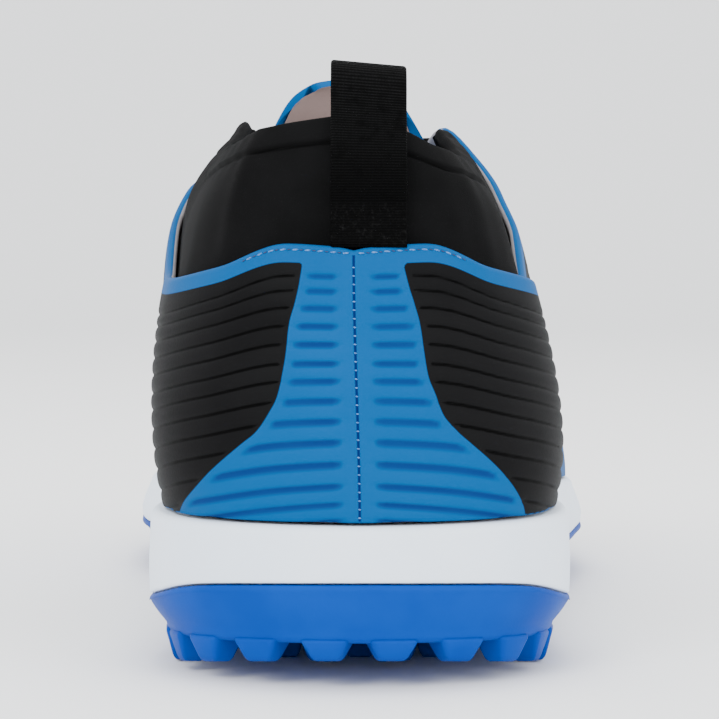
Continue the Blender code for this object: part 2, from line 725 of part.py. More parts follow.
def main():
    for old in list(bpy.data.objects):
        bpy.data.objects.remove(old, do_unlink=True)
    shoe = bpy.data.collections.new("turf_shoe")
    helpers = bpy.data.collections.new("cutters")
    for collection in (shoe, helpers):
        bpy.context.scene.collection.children.link(collection)
    helpers.hide_render = True
    pieces = (
        (build_outsole(helpers), (0.0, 0.21, 0.68), 0.45),
        (build_midsole(), (0.78, 0.82, 0.90), 0.55),
        (build_upper(), (0.005, 0.26, 0.58), 0.5),
        (build_collar(), (0.012, 0.012, 0.012), 0.9),
        (build_tongue(), (0.005, 0.26, 0.58), 0.7),
        (build_insole(), (0.35, 0.32, 0.31), 0.9),
        (build_pull_loop(), (0.01, 0.01, 0.01), 0.75),
        (build_laces(helpers), (0.012, 0.012, 0.012), 0.85),
    )
    for body, colour, roughness in pieces:
        shoe.objects.link(body)
        finish(body, colour, roughness)
    centre([body for body, _, _ in pieces], helpers)


main()
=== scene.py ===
import bisect
import math

import bmesh
import bpy
import numpy as np
from mathutils import Matrix, Vector


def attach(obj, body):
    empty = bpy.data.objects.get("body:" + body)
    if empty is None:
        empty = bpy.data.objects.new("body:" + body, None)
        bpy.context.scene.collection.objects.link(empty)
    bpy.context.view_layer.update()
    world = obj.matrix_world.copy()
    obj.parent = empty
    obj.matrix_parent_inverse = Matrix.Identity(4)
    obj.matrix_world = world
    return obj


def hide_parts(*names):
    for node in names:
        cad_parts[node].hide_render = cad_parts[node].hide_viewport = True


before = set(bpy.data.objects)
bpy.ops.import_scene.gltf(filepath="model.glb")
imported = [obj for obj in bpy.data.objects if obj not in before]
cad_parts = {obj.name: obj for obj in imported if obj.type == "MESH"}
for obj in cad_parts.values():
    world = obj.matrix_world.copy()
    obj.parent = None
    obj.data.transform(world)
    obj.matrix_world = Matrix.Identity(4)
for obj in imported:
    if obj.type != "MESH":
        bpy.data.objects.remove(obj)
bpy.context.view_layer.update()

mm = 0.001
print("frame loaded:", len(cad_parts), "nodes")

# Sizes of the last. Every piece is worked out from them, as shares of the way from the heel's
# seam to the toe ("way", above zero on the outer side) and up a section of the upper ("up").
last = {
    "length": 288 * mm,
    "ballWidth": 103 * mm,
    "heelWidth": 74.4 * mm,
    "instepHeight": 99.5 * mm,
    "heelHeight": 72 * mm,
    "vampHeight": 62.5 * mm,
    "outerDip": 65 * mm,
    "innerDip": 68 * mm,
    "throatGap": 43.5 * mm,
    "instepShift": 3.25 * mm,
    "toeShift": 8.6 * mm,
    "seamLean": 1.0 * mm,
    "throatTop": 0.505,
    "throatEnd": 0.700,
    "ballStarts": 0.25,
    "ballFull": 0.60,
    # along, inner, outer: shares of the length, and of half the heel's or the ball's width
    "plan": (
        (0.025, 0.595, 0.595),
        (0.070, 0.885, 0.885),
        (0.140, 1.000, 1.000),
        (0.240, 0.955, 0.990),
        (0.360, 0.810, 0.940),
        (0.460, 0.750, 0.915),
        (0.560, 0.835, 0.930),
        (0.640, 0.950, 0.985),
        (0.710, 0.995, 0.970),
        (0.790, 0.990, 0.925),
        (0.870, 0.915, 0.785),
        (0.940, 0.750, 0.550),
        (0.984, 0.500, 0.240),
    ),
}

soleSizes = {
    "heelStack": 27.2 * mm,
    "foreStack": 21 * mm,
    "toeStack": 17.5 * mm,
    "heelWrap": 17.8 * mm,
    "sideWrap": 11 * mm,
    "heelBevel": 5.6 * mm,
    "bevelRoot": 0.4,
    "toeSpring": 9.5 * mm,
    "archLift": 2.4 * mm,
    "plate": 2.6 * mm,
    "cupWall": 2.2 * mm,
    "edgeRound": 1.6 * mm,
    "foreFlare": 1.8 * mm,
    "sideTaper": 3.0 * mm,
    "lugHeight": 5.5 * mm,
    # along, drop, thin, bevel, spring, wrap, arch
    "levels": (
        (0.00, 0.00, 0.0, 1.00, 0.00, 1.00, 0.0),
        (0.04, 0.00, 0.0, 0.68, 0.00, 0.80, 0.0),
        (0.09, 0.00, 0.0, 0.32, 0.00, 0.38, 0.0),
        (0.14, 0.00, 0.0, 0.03, 0.00, 0.08, 0.0),
        (0.16, 0.00, 0.0, 0.00, 0.00, 0.04, 0.0),
        (0.30, 0.05, 0.0, 0.00, 0.00, 0.00, 0.4),
        (0.42, 0.35, 0.0, 0.00, 0.00, 0.00, 1.0),
        (0.55, 0.78, 0.0, 0.00, 0.00, 0.00, 0.3),
        (0.66, 1.00, 0.0, 0.00, 0.00, 0.00, 0.0),
        (0.74, 1.00, 0.2, 0.00, 0.00, 0.00, 0.0),
        (0.84, 1.00, 0.6, 0.00, 0.18, 0.00, 0.0),
        (0.92, 1.00, 0.9, 0.00, 0.52, 0.00, 0.0),
        (1.00, 1.00, 1.0, 0.00, 1.00, 0.00, 0.0),
    ),
}

ankle = last["heelWidth"] / 2
throat = last["throatGap"] / 2
instep = last["instepHeight"]
vamp = last["vampHeight"]

# at, across, along, height, lowOut, lowUp, highOut, highDown
frontRows = (
    (0.590, 0.610 * throat, 0.620, 0.820 * instep, 0.004, 0.34, 0.370, 0.17),
    (0.655, 0.425 * throat, 0.708, 1.075 * vamp, 0.000, 0.35, 0.460, 0.07),
    (0.700, 0.0, 0.738, vamp, 0.004, 0.36, 0.520, 0.03),
    (0.820, 0.0, 0.826, 0.900 * vamp, 0.030, 0.40, 0.460, 0.03),
    (0.920, 0.0, 0.882, 0.835 * vamp, 0.060, 0.45, 0.370, 0.07),
    (1.000, 0.0, 0.908, 0.795 * vamp, 0.052, 0.50, 0.300, 0.13),
)
outerRows = (
    (0.000, -last["seamLean"], 0.024, last["heelHeight"], 0.040, 0.30, 0.060, 0.34),
    (0.045, 0.300 * ankle, 0.031, 1.010 * last["heelHeight"], 0.046, 0.30, 0.062, 0.33),
    (0.090, 0.560 * ankle, 0.052, 0.972 * last["heelHeight"], 0.052, 0.30, 0.064, 0.32),
    (0.170, 0.820 * ankle, 0.128, 1.035 * last["outerDip"], 0.064, 0.32, 0.064, 0.30),
    (0.270, 0.855 * ankle, 0.257, 1.012 * last["outerDip"], 0.060, 0.32, 0.055, 0.30),
    (0.360, 0.855 * ankle, 0.370, 0.765 * instep, 0.060, 0.32, 0.080, 0.28),
    (0.420, 0.784 * ankle, 0.434, 0.855 * instep, 0.050, 0.33, 0.120, 0.28),
    (0.470, 1.230 * throat, 0.487, 0.935 * instep, 0.040, 0.32, 0.180, 0.26),
    (0.505, 1.000 * throat, 0.524, instep, 0.030, 0.32, 0.230, 0.22),
) + frontRows
innerRows = (
    (0.000, last["seamLean"], 0.024, last["heelHeight"], 0.040, 0.30, 0.060, 0.34),
    (0.045, 0.330 * ankle, 0.031, 1.010 * last["heelHeight"], 0.046, 0.30, 0.062, 0.33),
    (0.090, 0.610 * ankle, 0.052, 0.972 * last["heelHeight"], 0.052, 0.30, 0.064, 0.32),
    (0.170, 0.893 * ankle, 0.128, 0.995 * last["innerDip"], 0.064, 0.32, 0.064, 0.30),
    (0.270, 0.982 * ankle, 0.257, last["innerDip"], 0.060, 0.32, 0.055, 0.30),
    (0.360, 1.013 * ankle, 0.366, 0.779 * instep, 0.060, 0.32, 0.080, 0.28),
    (0.420, 0.950 * ankle, 0.426, 0.860 * instep, 0.050, 0.33, 0.120, 0.28),
    (0.470, 1.262 * throat, 0.472, 0.920 * instep, 0.040, 0.32, 0.180, 0.26),
    (0.505, 1.000 * throat, 0.516, instep, 0.030, 0.32, 0.230, 0.22),
) + frontRows


def mix(first, second, share):
    return first + (second - first) * share


def ease(low, high, value):
    share = np.clip((value - low) / (high - low), 0.0, 1.0)
    return share * share * (3 - 2 * share)


def bump(value, width):
    return np.exp(-((value / width) ** 2))


def unit(vectors):
    return vectors / np.linalg.norm(vectors, axis=-1, keepdims=True)


def runOf(points):
    # length along a line of points, from its start to each point
    return np.concatenate(([0.0], np.cumsum(np.linalg.norm(np.diff(points, axis=0), axis=1))))


def quarterTurn(steps):
    return [math.pi / 2 * step / steps for step in range(steps + 1)]


class Curve:
    # a smooth line through its rows that never overshoots them
    def __init__(self, spots, values):
        steps = [(b - a) / (t - s) for a, b, s, t in zip(values, values[1:], spots, spots[1:])]
        inner = [0.0 if a * b <= 0 else 2 * a * b / (a + b) for a, b in zip(steps, steps[1:])]
        self.spots, self.values = spots, values
        self.tilt = [steps[0]] + inner + [steps[-1]]

    def __call__(self, at):
        at = min(max(at, self.spots[0]), self.spots[-1])
        i = min(bisect.bisect_right(self.spots, at) - 1, len(self.spots) - 2)
        span = self.spots[i + 1] - self.spots[i]
        share = (at - self.spots[i]) / span
        ends = mix(self.values[i], self.values[i + 1], share * share * (3 - 2 * share))
        lead = share * (1 - share) ** 2 * self.tilt[i]
        trail = share * share * (share - 1) * self.tilt[i + 1]
        return ends + span * (lead + trail)

    def over(self, values):
        return np.array([self(value) for value in np.ravel(values)]).reshape(np.shape(values))


def columnsOf(rows):
    spots = [row[0] for row in rows]
    return [Curve(spots, [row[i] for row in rows]) for i in range(1, len(rows[0]))]


dropAt, thinAt, bevelAt, liftAt, wrapShareAt, archAt = columnsOf(soleSizes["levels"])
sideCurves = {True: columnsOf(outerRows), False: columnsOf(innerRows)}


def outlineRuns(fine=16):
    # the sole's outline as two fine runs, from heel centre to toe tip
    outer, inner = [], []
    for along, innerShare, outerShare in last["plan"]:
        grow = ease(last["ballStarts"], last["ballFull"], along)
        half = mix(last["heelWidth"], last["ballWidth"], grow) / 2
        outer.append(Vector((outerShare * half, along * last["length"])))
        inner.append(Vector((-innerShare * half, along * last["length"])))
    toeTip = Vector((-last["toeShift"], last["length"]))
    loop = [Vector((0, 0))] + outer + [toeTip] + inner[::-1]
    run = []
    for i in range(len(loop)):
        before, start, end, after = (loop[(i + k) % len(loop)] for k in (-1, 0, 1, 2))
        span = (end - start).length
        first = (end - before) / ((start - before).length + span) * span
        second = (after - start) / ((after - end).length + span) * span
        for step in range(fine):
            share = step / fine
            keep = 2 * share**3 - 3 * share**2 + 1
            point = start * keep + end * (1 - keep)
            point += first * (share * (1 - share) ** 2) + second * (share * share * (share - 1))
            run.append(point)
    around = zip(run, run[-1:] + run[:-1], run[1:] + run[:1])
    marks = [(point, (after - before).normalized()) for point, before, after in around]
    toe = fine * (len(outer) + 1)
    runs = []
    for side in (marks[: toe + 1], [marks[0]] + marks[: toe - 1 : -1]):
        lengths = [0.0]
        for (a, _), (b, _) in zip(side, side[1:]):
            lengths.append(lengths[-1] + (b - a).length)
        points, headings = zip(*side)
        runs.append((points, headings, [length / lengths[-1] for length in lengths], lengths[-1]))
    return runs


outerRun, innerRun = outlineRuns()
edgeX = [point.x for run in (outerRun, innerRun) for point in run[0]]
home = np.array((-(max(edgeX) + min(edgeX)) / 2, -last["length"] / 2, 0.0))


def rim(way, inset=0.0):
    points, headings, spots, _ = outerRun if way >= 0 else innerRun
    at = min(abs(way), 1.0)
    i = min(bisect.bisect_right(spots, at) - 1, len(spots) - 2)
    part = (at - spots[i]) / (spots[i + 1] - spots[i])
    point = points[i].lerp(points[i + 1], part)
    heading = headings[i].lerp(headings[i + 1], part).normalized()
    out = Vector((heading.y, -heading.x))
    return point - out * inset, out


def springAt(along):
    return soleSizes["toeSpring"] * liftAt(along)


def groundAt(along):
    return soleSizes["heelBevel"] * bevelAt(along) + springAt(along)


def baseAt(along):
    bevel = soleSizes["bevelRoot"] * soleSizes["heelBevel"] * bevelAt(along)
    return springAt(along) + soleSizes["lugHeight"] + bevel + soleSizes["archLift"] * archAt(along)


def wrapAt(along):
    return springAt(along) + mix(soleSizes["sideWrap"], soleSizes["heelWrap"], wrapShareAt(along))


def stackAt(along):
    fore = mix(soleSizes["foreStack"], soleSizes["toeStack"], thinAt(along))
    return springAt(along) + mix(soleSizes["heelStack"], fore, dropAt(along))


def ringPoint(way, inset, height, flare=0.0):
    edge = rim(way)[0]
    along = edge.y / last["length"]
    plan = rim(way, inset + flare * dropAt(along))[0]
    return (plan.x, plan.y, height(along))


upperSeat = {"inset": 2.4 * mm, "lean": 1.2 * mm, "seat": 0.55 * mm, "gap": 0.3 * mm}
sectionCache = {}


def upperSection(way):
    key = round(way, 7)
    if key not in sectionCache:
        at = abs(way)
        across, along, height, lowOut, lowUp, highOut, highDown = (
            curve(at) for curve in sideCurves[way >= 0]
        )
        edge = rim(way)[0].y / last["length"]
        foot, out = rim(way, upperSeat["inset"] + upperSeat["lean"] * dropAt(edge))
        low = np.array((foot.x, foot.y, stackAt(edge) + upperSeat["seat"]))
        middle = mix(
            last["instepShift"] * ease(0.42, last["throatTop"], at),
            last["toeShift"],
            0.6 * ease(last["throatEnd"], 1.0, at),
        )
        side = 1 if way >= 0 else -1
        high = np.array((across * side - middle, along * last["length"], height))
        rise = high[2] - low[2]
        outward3 = np.array((out.x, out.y, 0.0))
        half = last["ballWidth"] / 2
        first = low + outward3 * lowOut * half + np.array((0, 0, lowUp * rise))
        second = high + outward3 * highOut * half - np.array((0, 0, highDown * rise))
        sectionCache[key] = np.array((low, first, second, high))
    return sectionCache[key]


def bezier(section, share):
    share = np.asarray(share, float)[..., None]
    back = 1 - share
    low, first, second, high = section
    return low * back**3 + first * 3 * back**2 * share + second * 3 * back * share**2 + high * share**3


def upperPoint(way, up):
    return bezier(upperSection(way), up)


def outward(way, up):
    step = 0.004
    before, after = way - step, way + step
    if after > 1:
        after = after - 2
    if before < -1:
        before = before + 2
    ahead = upperPoint(after, up) - upperPoint(before, up)
    above = upperPoint(way, min(up + step, 1)) - upperPoint(way, max(up - step, 0))
    return unit(np.cross(ahead, above))


def inside(way, up, depth):
    return upperPoint(way, up) - outward(way, up) * depth


# Meshes

def lattice(points, fields=None, uv=None):
    # a grid whose corners are moved to rows of points, with values kept at each corner
    rows, columns = points.shape[:2]
    mesh, fields = bmesh.new(), fields or {}
    layers = [mesh.verts.layers.float.new(name) for name in fields]
    uvLayer = mesh.loops.layers.uv.new("surface") if uv is not None else None
    bmesh.ops.create_grid(mesh, x_segments=columns - 1, y_segments=rows - 1, size=1.0)
    verts = sorted(mesh.verts, key=lambda v: (round(v.co.y * rows), round(v.co.x * columns)))
    for vert, place in zip(verts, (points + home).reshape(-1, 3)):
        vert.co = place
    for layer, values in zip(layers, fields.values()):
        for vert, value in zip(verts, np.ravel(values)):
            vert[layer] = value
    if uv is not None:
        pairs = {vert: tuple(pair) for vert, pair in zip(verts, uv.reshape(-1, 2))}
        for face in mesh.faces:
            for loop in face.loops:
                loop[uvLayer].uv = pairs[loop.vert]
    return mesh, verts


def weld(mesh, distance=0.01 * mm):
    bmesh.ops.remove_doubles(mesh, verts=mesh.verts, dist=distance)


def closeEnds(mesh):
    weld(mesh)
    bmesh.ops.holes_fill(mesh, edges=[edge for edge in mesh.edges if edge.is_boundary], sides=0)


def pieceOf(name, mesh, node, finishes, recalc=True):
    if recalc:
        bmesh.ops.recalc_face_normals(mesh, faces=mesh.faces)
    data = bpy.data.meshes.new(name)
    mesh.to_mesh(data)
    mesh.free()
    piece = bpy.data.objects.new(name, data)
    bpy.context.scene.collection.objects.link(piece)
    data.shade_smooth()
    for finish in finishes:
        data.materials.append(finish)
    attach(piece, "root")
    if node:
        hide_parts(node)
    return piece


def spread(count, fine=0.55):
    x = np.linspace(-1, 1, count + 1)
    return fine * x + (1 - fine) * x**3


def lengthsAlong(points, axis):
    steps = np.linalg.norm(np.diff(points, axis=axis), axis=2)
    start = np.zeros_like(np.take(steps, [0], axis=axis))
    return np.concatenate((start, np.cumsum(steps, axis=axis)), axis=axis)


def roundedLip(points, normals, wall, steps, lift):
    # rows that turn the top edge over onto the inner face
    top, normal, half = points[-1], normals[-1], wall / 2
    climb = unit(points[-1] - points[-2])
    rows = []
    for step in range(1, steps + 1):
        angle = math.pi * step / (steps + 1)
        reach = normal * math.cos(angle) + climb * math.sin(angle) * lift
        rows.append(top - normal * half + reach * half)
    return np.array(rows)


def normalsOf(points, wrapped=False):
    if wrapped:
        padded = np.concatenate((points[:, -2:-1], points, points[:, 1:2]), axis=1)
        ahead = padded[:, 2:] - padded[:, :-2]
    else:
        ahead = np.gradient(points, axis=1)
    above = np.gradient(points, axis=0)
    normal = np.cross(ahead, above)
    return normal / np.maximum(np.linalg.norm(normal, axis=2, keepdims=True), 1e-12)


# Shader maths: expressions on values add Math nodes

class Value:
    def __init__(self, finish, socket):
        self.finish, self.socket = finish, socket

    def maths(self, operation, *others):
        sockets = dict(enumerate((self, *others)))
        return self.finish.node("ShaderNodeMath", sockets, operation=operation)

    def sine(self):
        return self.maths("SINE")

    def __add__(self, other):
        return self.maths("ADD", other)

    def __mul__(self, other):
        return self.maths("MULTIPLY", other)

    def __sub__(self, other):
        return self.maths("SUBTRACT", other)

    def __rsub__(self, other):
        return self.finish.node("ShaderNodeMath", {0: other, 1: self}, operation="SUBTRACT")

    def __truediv__(self, other):
        return self.maths("DIVIDE", other)

    __radd__ = __add__
    __rmul__ = __mul__

    def rise(self, low, high):
        # 0 below low, 1 above high and smooth between
        return self.finish.node(
            "ShaderNodeMapRange",
            {"Value": self, "From Min": low, "From Max": high},
            interpolation_type="SMOOTHSTEP",
        )


class Finish:
    def __init__(self, name, colour, roughness, **fixed):
        self.material = bpy.data.materials.new(name)
        self.material.use_nodes = True
        self.tree = self.material.node_tree
        self.shader = self.tree.nodes["Principled BSDF"]
        self.shader.inputs["Base Color"].default_value = (*colour, 1)
        self.shader.inputs["Roughness"].default_value = roughness
        for socket, value in fixed.items():
            self.shader.inputs[socket.replace("_", " ")].default_value = value

    def node(self, kind, sockets=None, out=0, **settings):
        made = self.tree.nodes.new(kind)
        for name, value in settings.items():
            setattr(made, name, value)
        for key, value in (sockets or {}).items():
            if isinstance(value, Value):
                self.tree.links.new(value.socket, made.inputs[key])
            else:
                made.inputs[key].default_value = value
        return Value(self, made.outputs[out])

    def place(self):
        return self.node("ShaderNodeTexCoord", out="Object")

    def field(self, name):
        return self.node("ShaderNodeAttribute", out="Fac", attribute_name=name)

    def surface(self, axis):
        uv = self.node("ShaderNodeUVMap", uv_map="surface")
        return self.node("ShaderNodeSeparateXYZ", {0: uv}, out=axis)

    def noise(self, size, detail=2.0, roughness=0.5, stretch=(1, 1, 1)):
        # cloudy values with lumps of that size in metres
        vector = self.node("ShaderNodeMapping", {"Vector": self.place(), "Scale": stretch})
        sockets = {"Vector": vector, "Scale": 1 / size, "Detail": detail, "Roughness": roughness}
        return self.node("ShaderNodeTexNoise", sockets)

    def blend(self, mask, first, second):
        sockets = {0: mask, 6: self.colour(first), 7: self.colour(second)}
        return self.node("ShaderNodeMix", sockets, out=2, data_type="RGBA")

    def colour(self, value):
        return value if isinstance(value, Value) else (*value, 1)

    def feed(self, **links):
        for socket, value in links.items():
            self.tree.links.new(value.socket, self.shader.inputs[socket.replace("_", " ")])

    def relief(self, height, depth, strength=1.0):
        sockets = {"Height": height, "Distance": depth, "Strength": strength}
        normal = self.node("ShaderNodeBump", sockets)
        self.tree.links.new(normal.socket, self.shader.inputs["Normal"])


# Camera, floor and light

view = {"lens": 137.6, "away": 444 * mm, "height": 70 * mm, "across": 0.3 * mm, "tilt": 2.0}
camera = bpy.data.objects.new("camera", bpy.data.cameras.new("camera"))
camera.data.lens = view["lens"]
camera.data.sensor_width = 36
camera.location = (view["across"], -last["length"] / 2 - view["away"], view["height"])
camera.rotation_euler = (math.radians(90 - view["tilt"]), 0, 0)
camera.data.clip_start = 0.01
bpy.context.scene.collection.objects.link(camera)
bpy.context.scene.camera = camera

floorSizes = {"near": 1.6, "far": 2.4, "half": 3.0, "bend": 1.0, "high": 2.5}
floorTone = (0.93, 0.93, 0.93)
# place, size, power
lights = {
    "key": ((-0.75, -1.35, 1.05), 0.9, 17),
    "fill": ((0.95, -1.1, 0.55), 1.0, 8),
    "top": ((0.0, 0.1, 1.5), 1.3, 13),
}
lightAim = Vector((0, 0, 0.045))
studio = {"tone": (0.96, 0.98, 1.0, 1), "strength": 1.9}


def buildFloor():
    # a level sheet that bends up behind into a backdrop
    near, far, half, bend, high = floorSizes.values()
    turn = [math.radians(a) for a in range(10, 91, 10)]
    flat = [(-near, 0.0), (0.0, 0.0), (far, 0.0)]
    flat += [(far + bend * math.sin(a), bend * (1 - math.cos(a))) for a in turn]
    flat.append((far + bend, high))
    points = np.array([[(x, y, z) for x in (-half, half)] for y, z in flat])
    mesh, _ = lattice(points - home)
    data = bpy.data.meshes.new("floor")
    mesh.to_mesh(data)
    mesh.free()
    floor = bpy.data.objects.new("floor", data)
    bpy.context.scene.collection.objects.link(floor)
    data.shade_smooth()
    data.materials.append(Finish("pale_floor", floorTone, 0.95, Specular_IOR_Level=0.1).material)


def addLight(name, place, size, power):
    light = bpy.data.lights.new(name, "AREA")
    light.shape = "DISK"
    light.size = size
    light.energy = power
    lamp = bpy.data.objects.new(name, light)
    lamp.location = place
    lamp.rotation_euler = (lightAim - Vector(place)).to_track_quat("-Z", "Y").to_euler()
    bpy.context.scene.collection.objects.link(lamp)


buildFloor()
for name, (place, size, power) in lights.items():
    addLight(name, place, size, power)
world = bpy.data.worlds.new("studio")
world.use_nodes = True
background = world.node_tree.nodes["Background"]
background.inputs["Color"].default_value = studio["tone"]
background.inputs["Strength"].default_value = studio["strength"]
bpy.context.scene.world = world
print("camera, floor and lights ready")


# Finishes

colours = {
    "blue": (0.0, 0.071, 0.225),
    "blueShade": (0.0, 0.060, 0.20),
    # painted shade: the deep blue laid into the blue panel's grooves
    "blueGrooveShade": (0.0, 0.028, 0.135),
    "blueSeam": (0.0, 0.012, 0.085),
    "black": (0.0045, 0.0045, 0.0048),
    "blackShade": (0.0060, 0.0060, 0.0063),
    # painted shade in the black ribs' grooves; also the collar's dark hem seam line
    "blackGrooveShadeAndSeam": (0.0003, 0.0003, 0.0003),
    "knit": (0.0024, 0.0024, 0.0025),
    "knitShade": (0.0036, 0.0036, 0.0038),
    "webbing": (0.0075, 0.0075, 0.0077),
    "webbingGap": (0.0012, 0.0012, 0.0012),
    "webbingLow": (0.0006, 0.0006, 0.0006),
    "webbingPatch": (0.0055, 0.0055, 0.0055),
    "lace": (0.0055, 0.0055, 0.0057),
    "laceGap": (0.0010, 0.0010, 0.0010),
}
# two tones, size of the clouds, grain, relief, roughness with the start and size of its play, gloss
cloudyFinishes = {
    "lining_cloth": (
        (0.24, 0.178, 0.166), (0.225, 0.164, 0.152),
        5 * mm, (0.35 * mm, 2.0, 0.6), (0.12 * mm, 0.6), (0.92, 0.92, 0.0), 0.1,
    ),
    "pale_lining": (
        (0.34, 0.32, 0.33), (0.29, 0.27, 0.28),
        5 * mm, (0.35 * mm, 2.0, 0.6), (0.12 * mm, 0.6), (0.92, 0.92, 0.0), 0.1,
    ),
    "white_foam": (
        (0.80, 0.88, 0.98), (0.77, 0.86, 0.97),
        16 * mm, (0.6 * mm, 3.0, 0.65), (0.08 * mm, 0.45), (0.5, 0.46, 0.14), 0.3,
    ),
    "blue_rubber": (
        (0.0, 0.048, 0.31), (0.0, 0.041, 0.28),
        11 * mm, (0.5 * mm, 3.0, 0.6), (0.06 * mm, 0.4), (0.42, 0.36, 0.16), 0.03,
    ),
}
# pitch of the cross ribs and of the warp; heights of the stitched patch and of the darker part
webbingStyle = {
    "ribs": 0.46 * mm,
    "warp": 0.55 * mm,
    "patch": (72.6 * mm, 80.4 * mm),
    "darker": (80 * mm, 99 * mm),
}
braidPitch = 1.1 * mm


def skinFinish():
    finish = Finish("blue_black_skin", colours["blue"], 0.5, Specular_IOR_Level=0.03)
    black = finish.field("panel").rise(-0.07 * mm, 0.07 * mm)
    # the groove field is a mask of painted shade in the grooves
    grooveShade = finish.field("grooveShade")
    seam = 1 - finish.field("seam").rise(0.14 * mm, 0.26 * mm)
    cloud = finish.noise(14 * mm, 1.0)
    grain = finish.noise(0.45 * mm, 3.0, 0.6)
    # painted shade: the blue darkens towards a deep blue in the grooves
    blue = finish.blend(grooveShade.rise(0.15, 0.95), colours["blue"], colours["blueGrooveShade"])
    blue = finish.blend(cloud.rise(0.35, 0.75) * 0.25, blue, colours["blueShade"])
    dark = finish.blend(cloud.rise(0.3, 0.7), colours["black"], colours["blackShade"])
    # painted shade: the black goes near-black in the rib grooves
    dark = finish.blend(grooveShade.rise(0.3, 0.6), dark, colours["blackGrooveShadeAndSeam"])
    colour = finish.blend(seam, finish.blend(black, blue, dark), colours["blueSeam"])
    finish.feed(Base_Color=colour, Roughness=0.44 + grain * 0.14 + black * 0.03)
    finish.relief(grain * 0.5 - seam * 3.0, 0.08 * mm, 0.5)
    return finish.material


def cloudyFinish(name):
    light, dark, lump, grain, relief, (rough, start, play), gloss = cloudyFinishes[name]
    finish = Finish(name, light, rough, Specular_IOR_Level=gloss)
    cloud, fine = finish.noise(lump), finish.noise(*grain)
    finish.feed(Base_Color=finish.blend(cloud.rise(0.35, 0.7), light, dark))
    if play:
        finish.feed(Roughness=start + fine * play)
    finish.relief(fine, *relief)
    return finish.material


def knitFinish():
    finish = Finish("black_knit", colours["knit"], 0.86, Specular_IOR_Level=0.05)
    cloud = finish.noise(9 * mm)
    knit = finish.noise(0.28 * mm, 2.0, 0.6, (1, 1, 1.6))
    colour = finish.blend(cloud.rise(0.3, 0.75), colours["knit"], colours["knitShade"])
    # the hem seam line goes near-black: a dark seam joint with painted shade in its recess
    colour = finish.blend(finish.field("hemSeam"), colour, colours["blackGrooveShadeAndSeam"])
    finish.feed(Base_Color=colour)
    finish.relief(knit, 0.1 * mm, 0.5)
    return finish.material


def webbingFinish():
    # cross ribs of the weave, with the warp's finer columns
    style = webbingStyle
    finish = Finish("webbing", colours["webbing"], 0.7, Specular_IOR_Level=0.02)
    along = finish.surface("Y") / style["ribs"]
    across = finish.surface("X") / style["warp"]
    ribs = (along * math.tau).sine() * 0.5 + 0.5
    warp = (across * math.tau + (along * math.pi).sine()).sine() * 0.5 + 0.5
    weave = ribs * (0.55 + warp * 0.45)
    rough = finish.noise(1.6 * mm)
    tangle = finish.noise(0.7 * mm, 3.0, 0.7)
    height = finish.node("ShaderNodeSeparateXYZ", {0: finish.place()}, out="Z")
    low, high = style["patch"]
    patch = height.rise(low, low + mm) * (1 - height.rise(high - mm, high))
    worn = weave * rough.rise(0.15, 0.6)
    colour = finish.blend(worn, colours["webbingGap"], colours["webbing"])
    darker = (1 - height.rise(*style["darker"])) * 0.75
    colour = finish.blend(darker, colour, colours["webbingLow"])
    colour = finish.blend(patch * tangle.rise(0.5, 0.75), colour, colours["webbingPatch"])
    finish.feed(Base_Color=colour, Roughness=0.5 + rough * 0.3)
    finish.relief(weave * (1 - patch * 0.7) + tangle * patch * 1.5, 0.2 * mm, 0.8)
    return finish.material


def laceFinish():
    finish = Finish("lace_braid", colours["lace"], 0.8, Specular_IOR_Level=0.06)
    along, across = (finish.surface(axis) / braidPitch for axis in "YX")
    first = ((along + across) * math.tau).sine()
    second = ((along - across) * math.tau).sine()
    braid = first.maths("MAXIMUM", second) * 0.5 + 0.5
    finish.feed(Base_Color=finish.blend(braid, colours["laceGap"], colours["lace"]))
    finish.relief(braid, 0.25 * mm, 0.8)
    return finish.material


def threadFinish(name, colour, dark):
    finish = Finish(name, colour, 0.55)
    twist = finish.noise(0.25 * mm, 1.0)
    finish.feed(Base_Color=finish.blend(twist.rise(0.3, 0.7), colour, dark))
    finish.relief(twist, 0.05 * mm, 0.5)
    return finish.material


skin, knit, webbing, braid = skinFinish(), knitFinish(), webbingFinish(), laceFinish()
lining, paleLining, foam, rubber = (cloudyFinish(name) for name in cloudyFinishes)
blueThread = threadFinish("blue_thread", (0.075, 0.20, 0.45), (0.01, 0.08, 0.28))
# painted shade: the dark mark where each topline stitch dives into the skin
stitchDipShade = threadFinish("stitch_dip_shade", (0.0, 0.014, 0.095), (0.0, 0.007, 0.06))
print("finishes ready")


# Upper

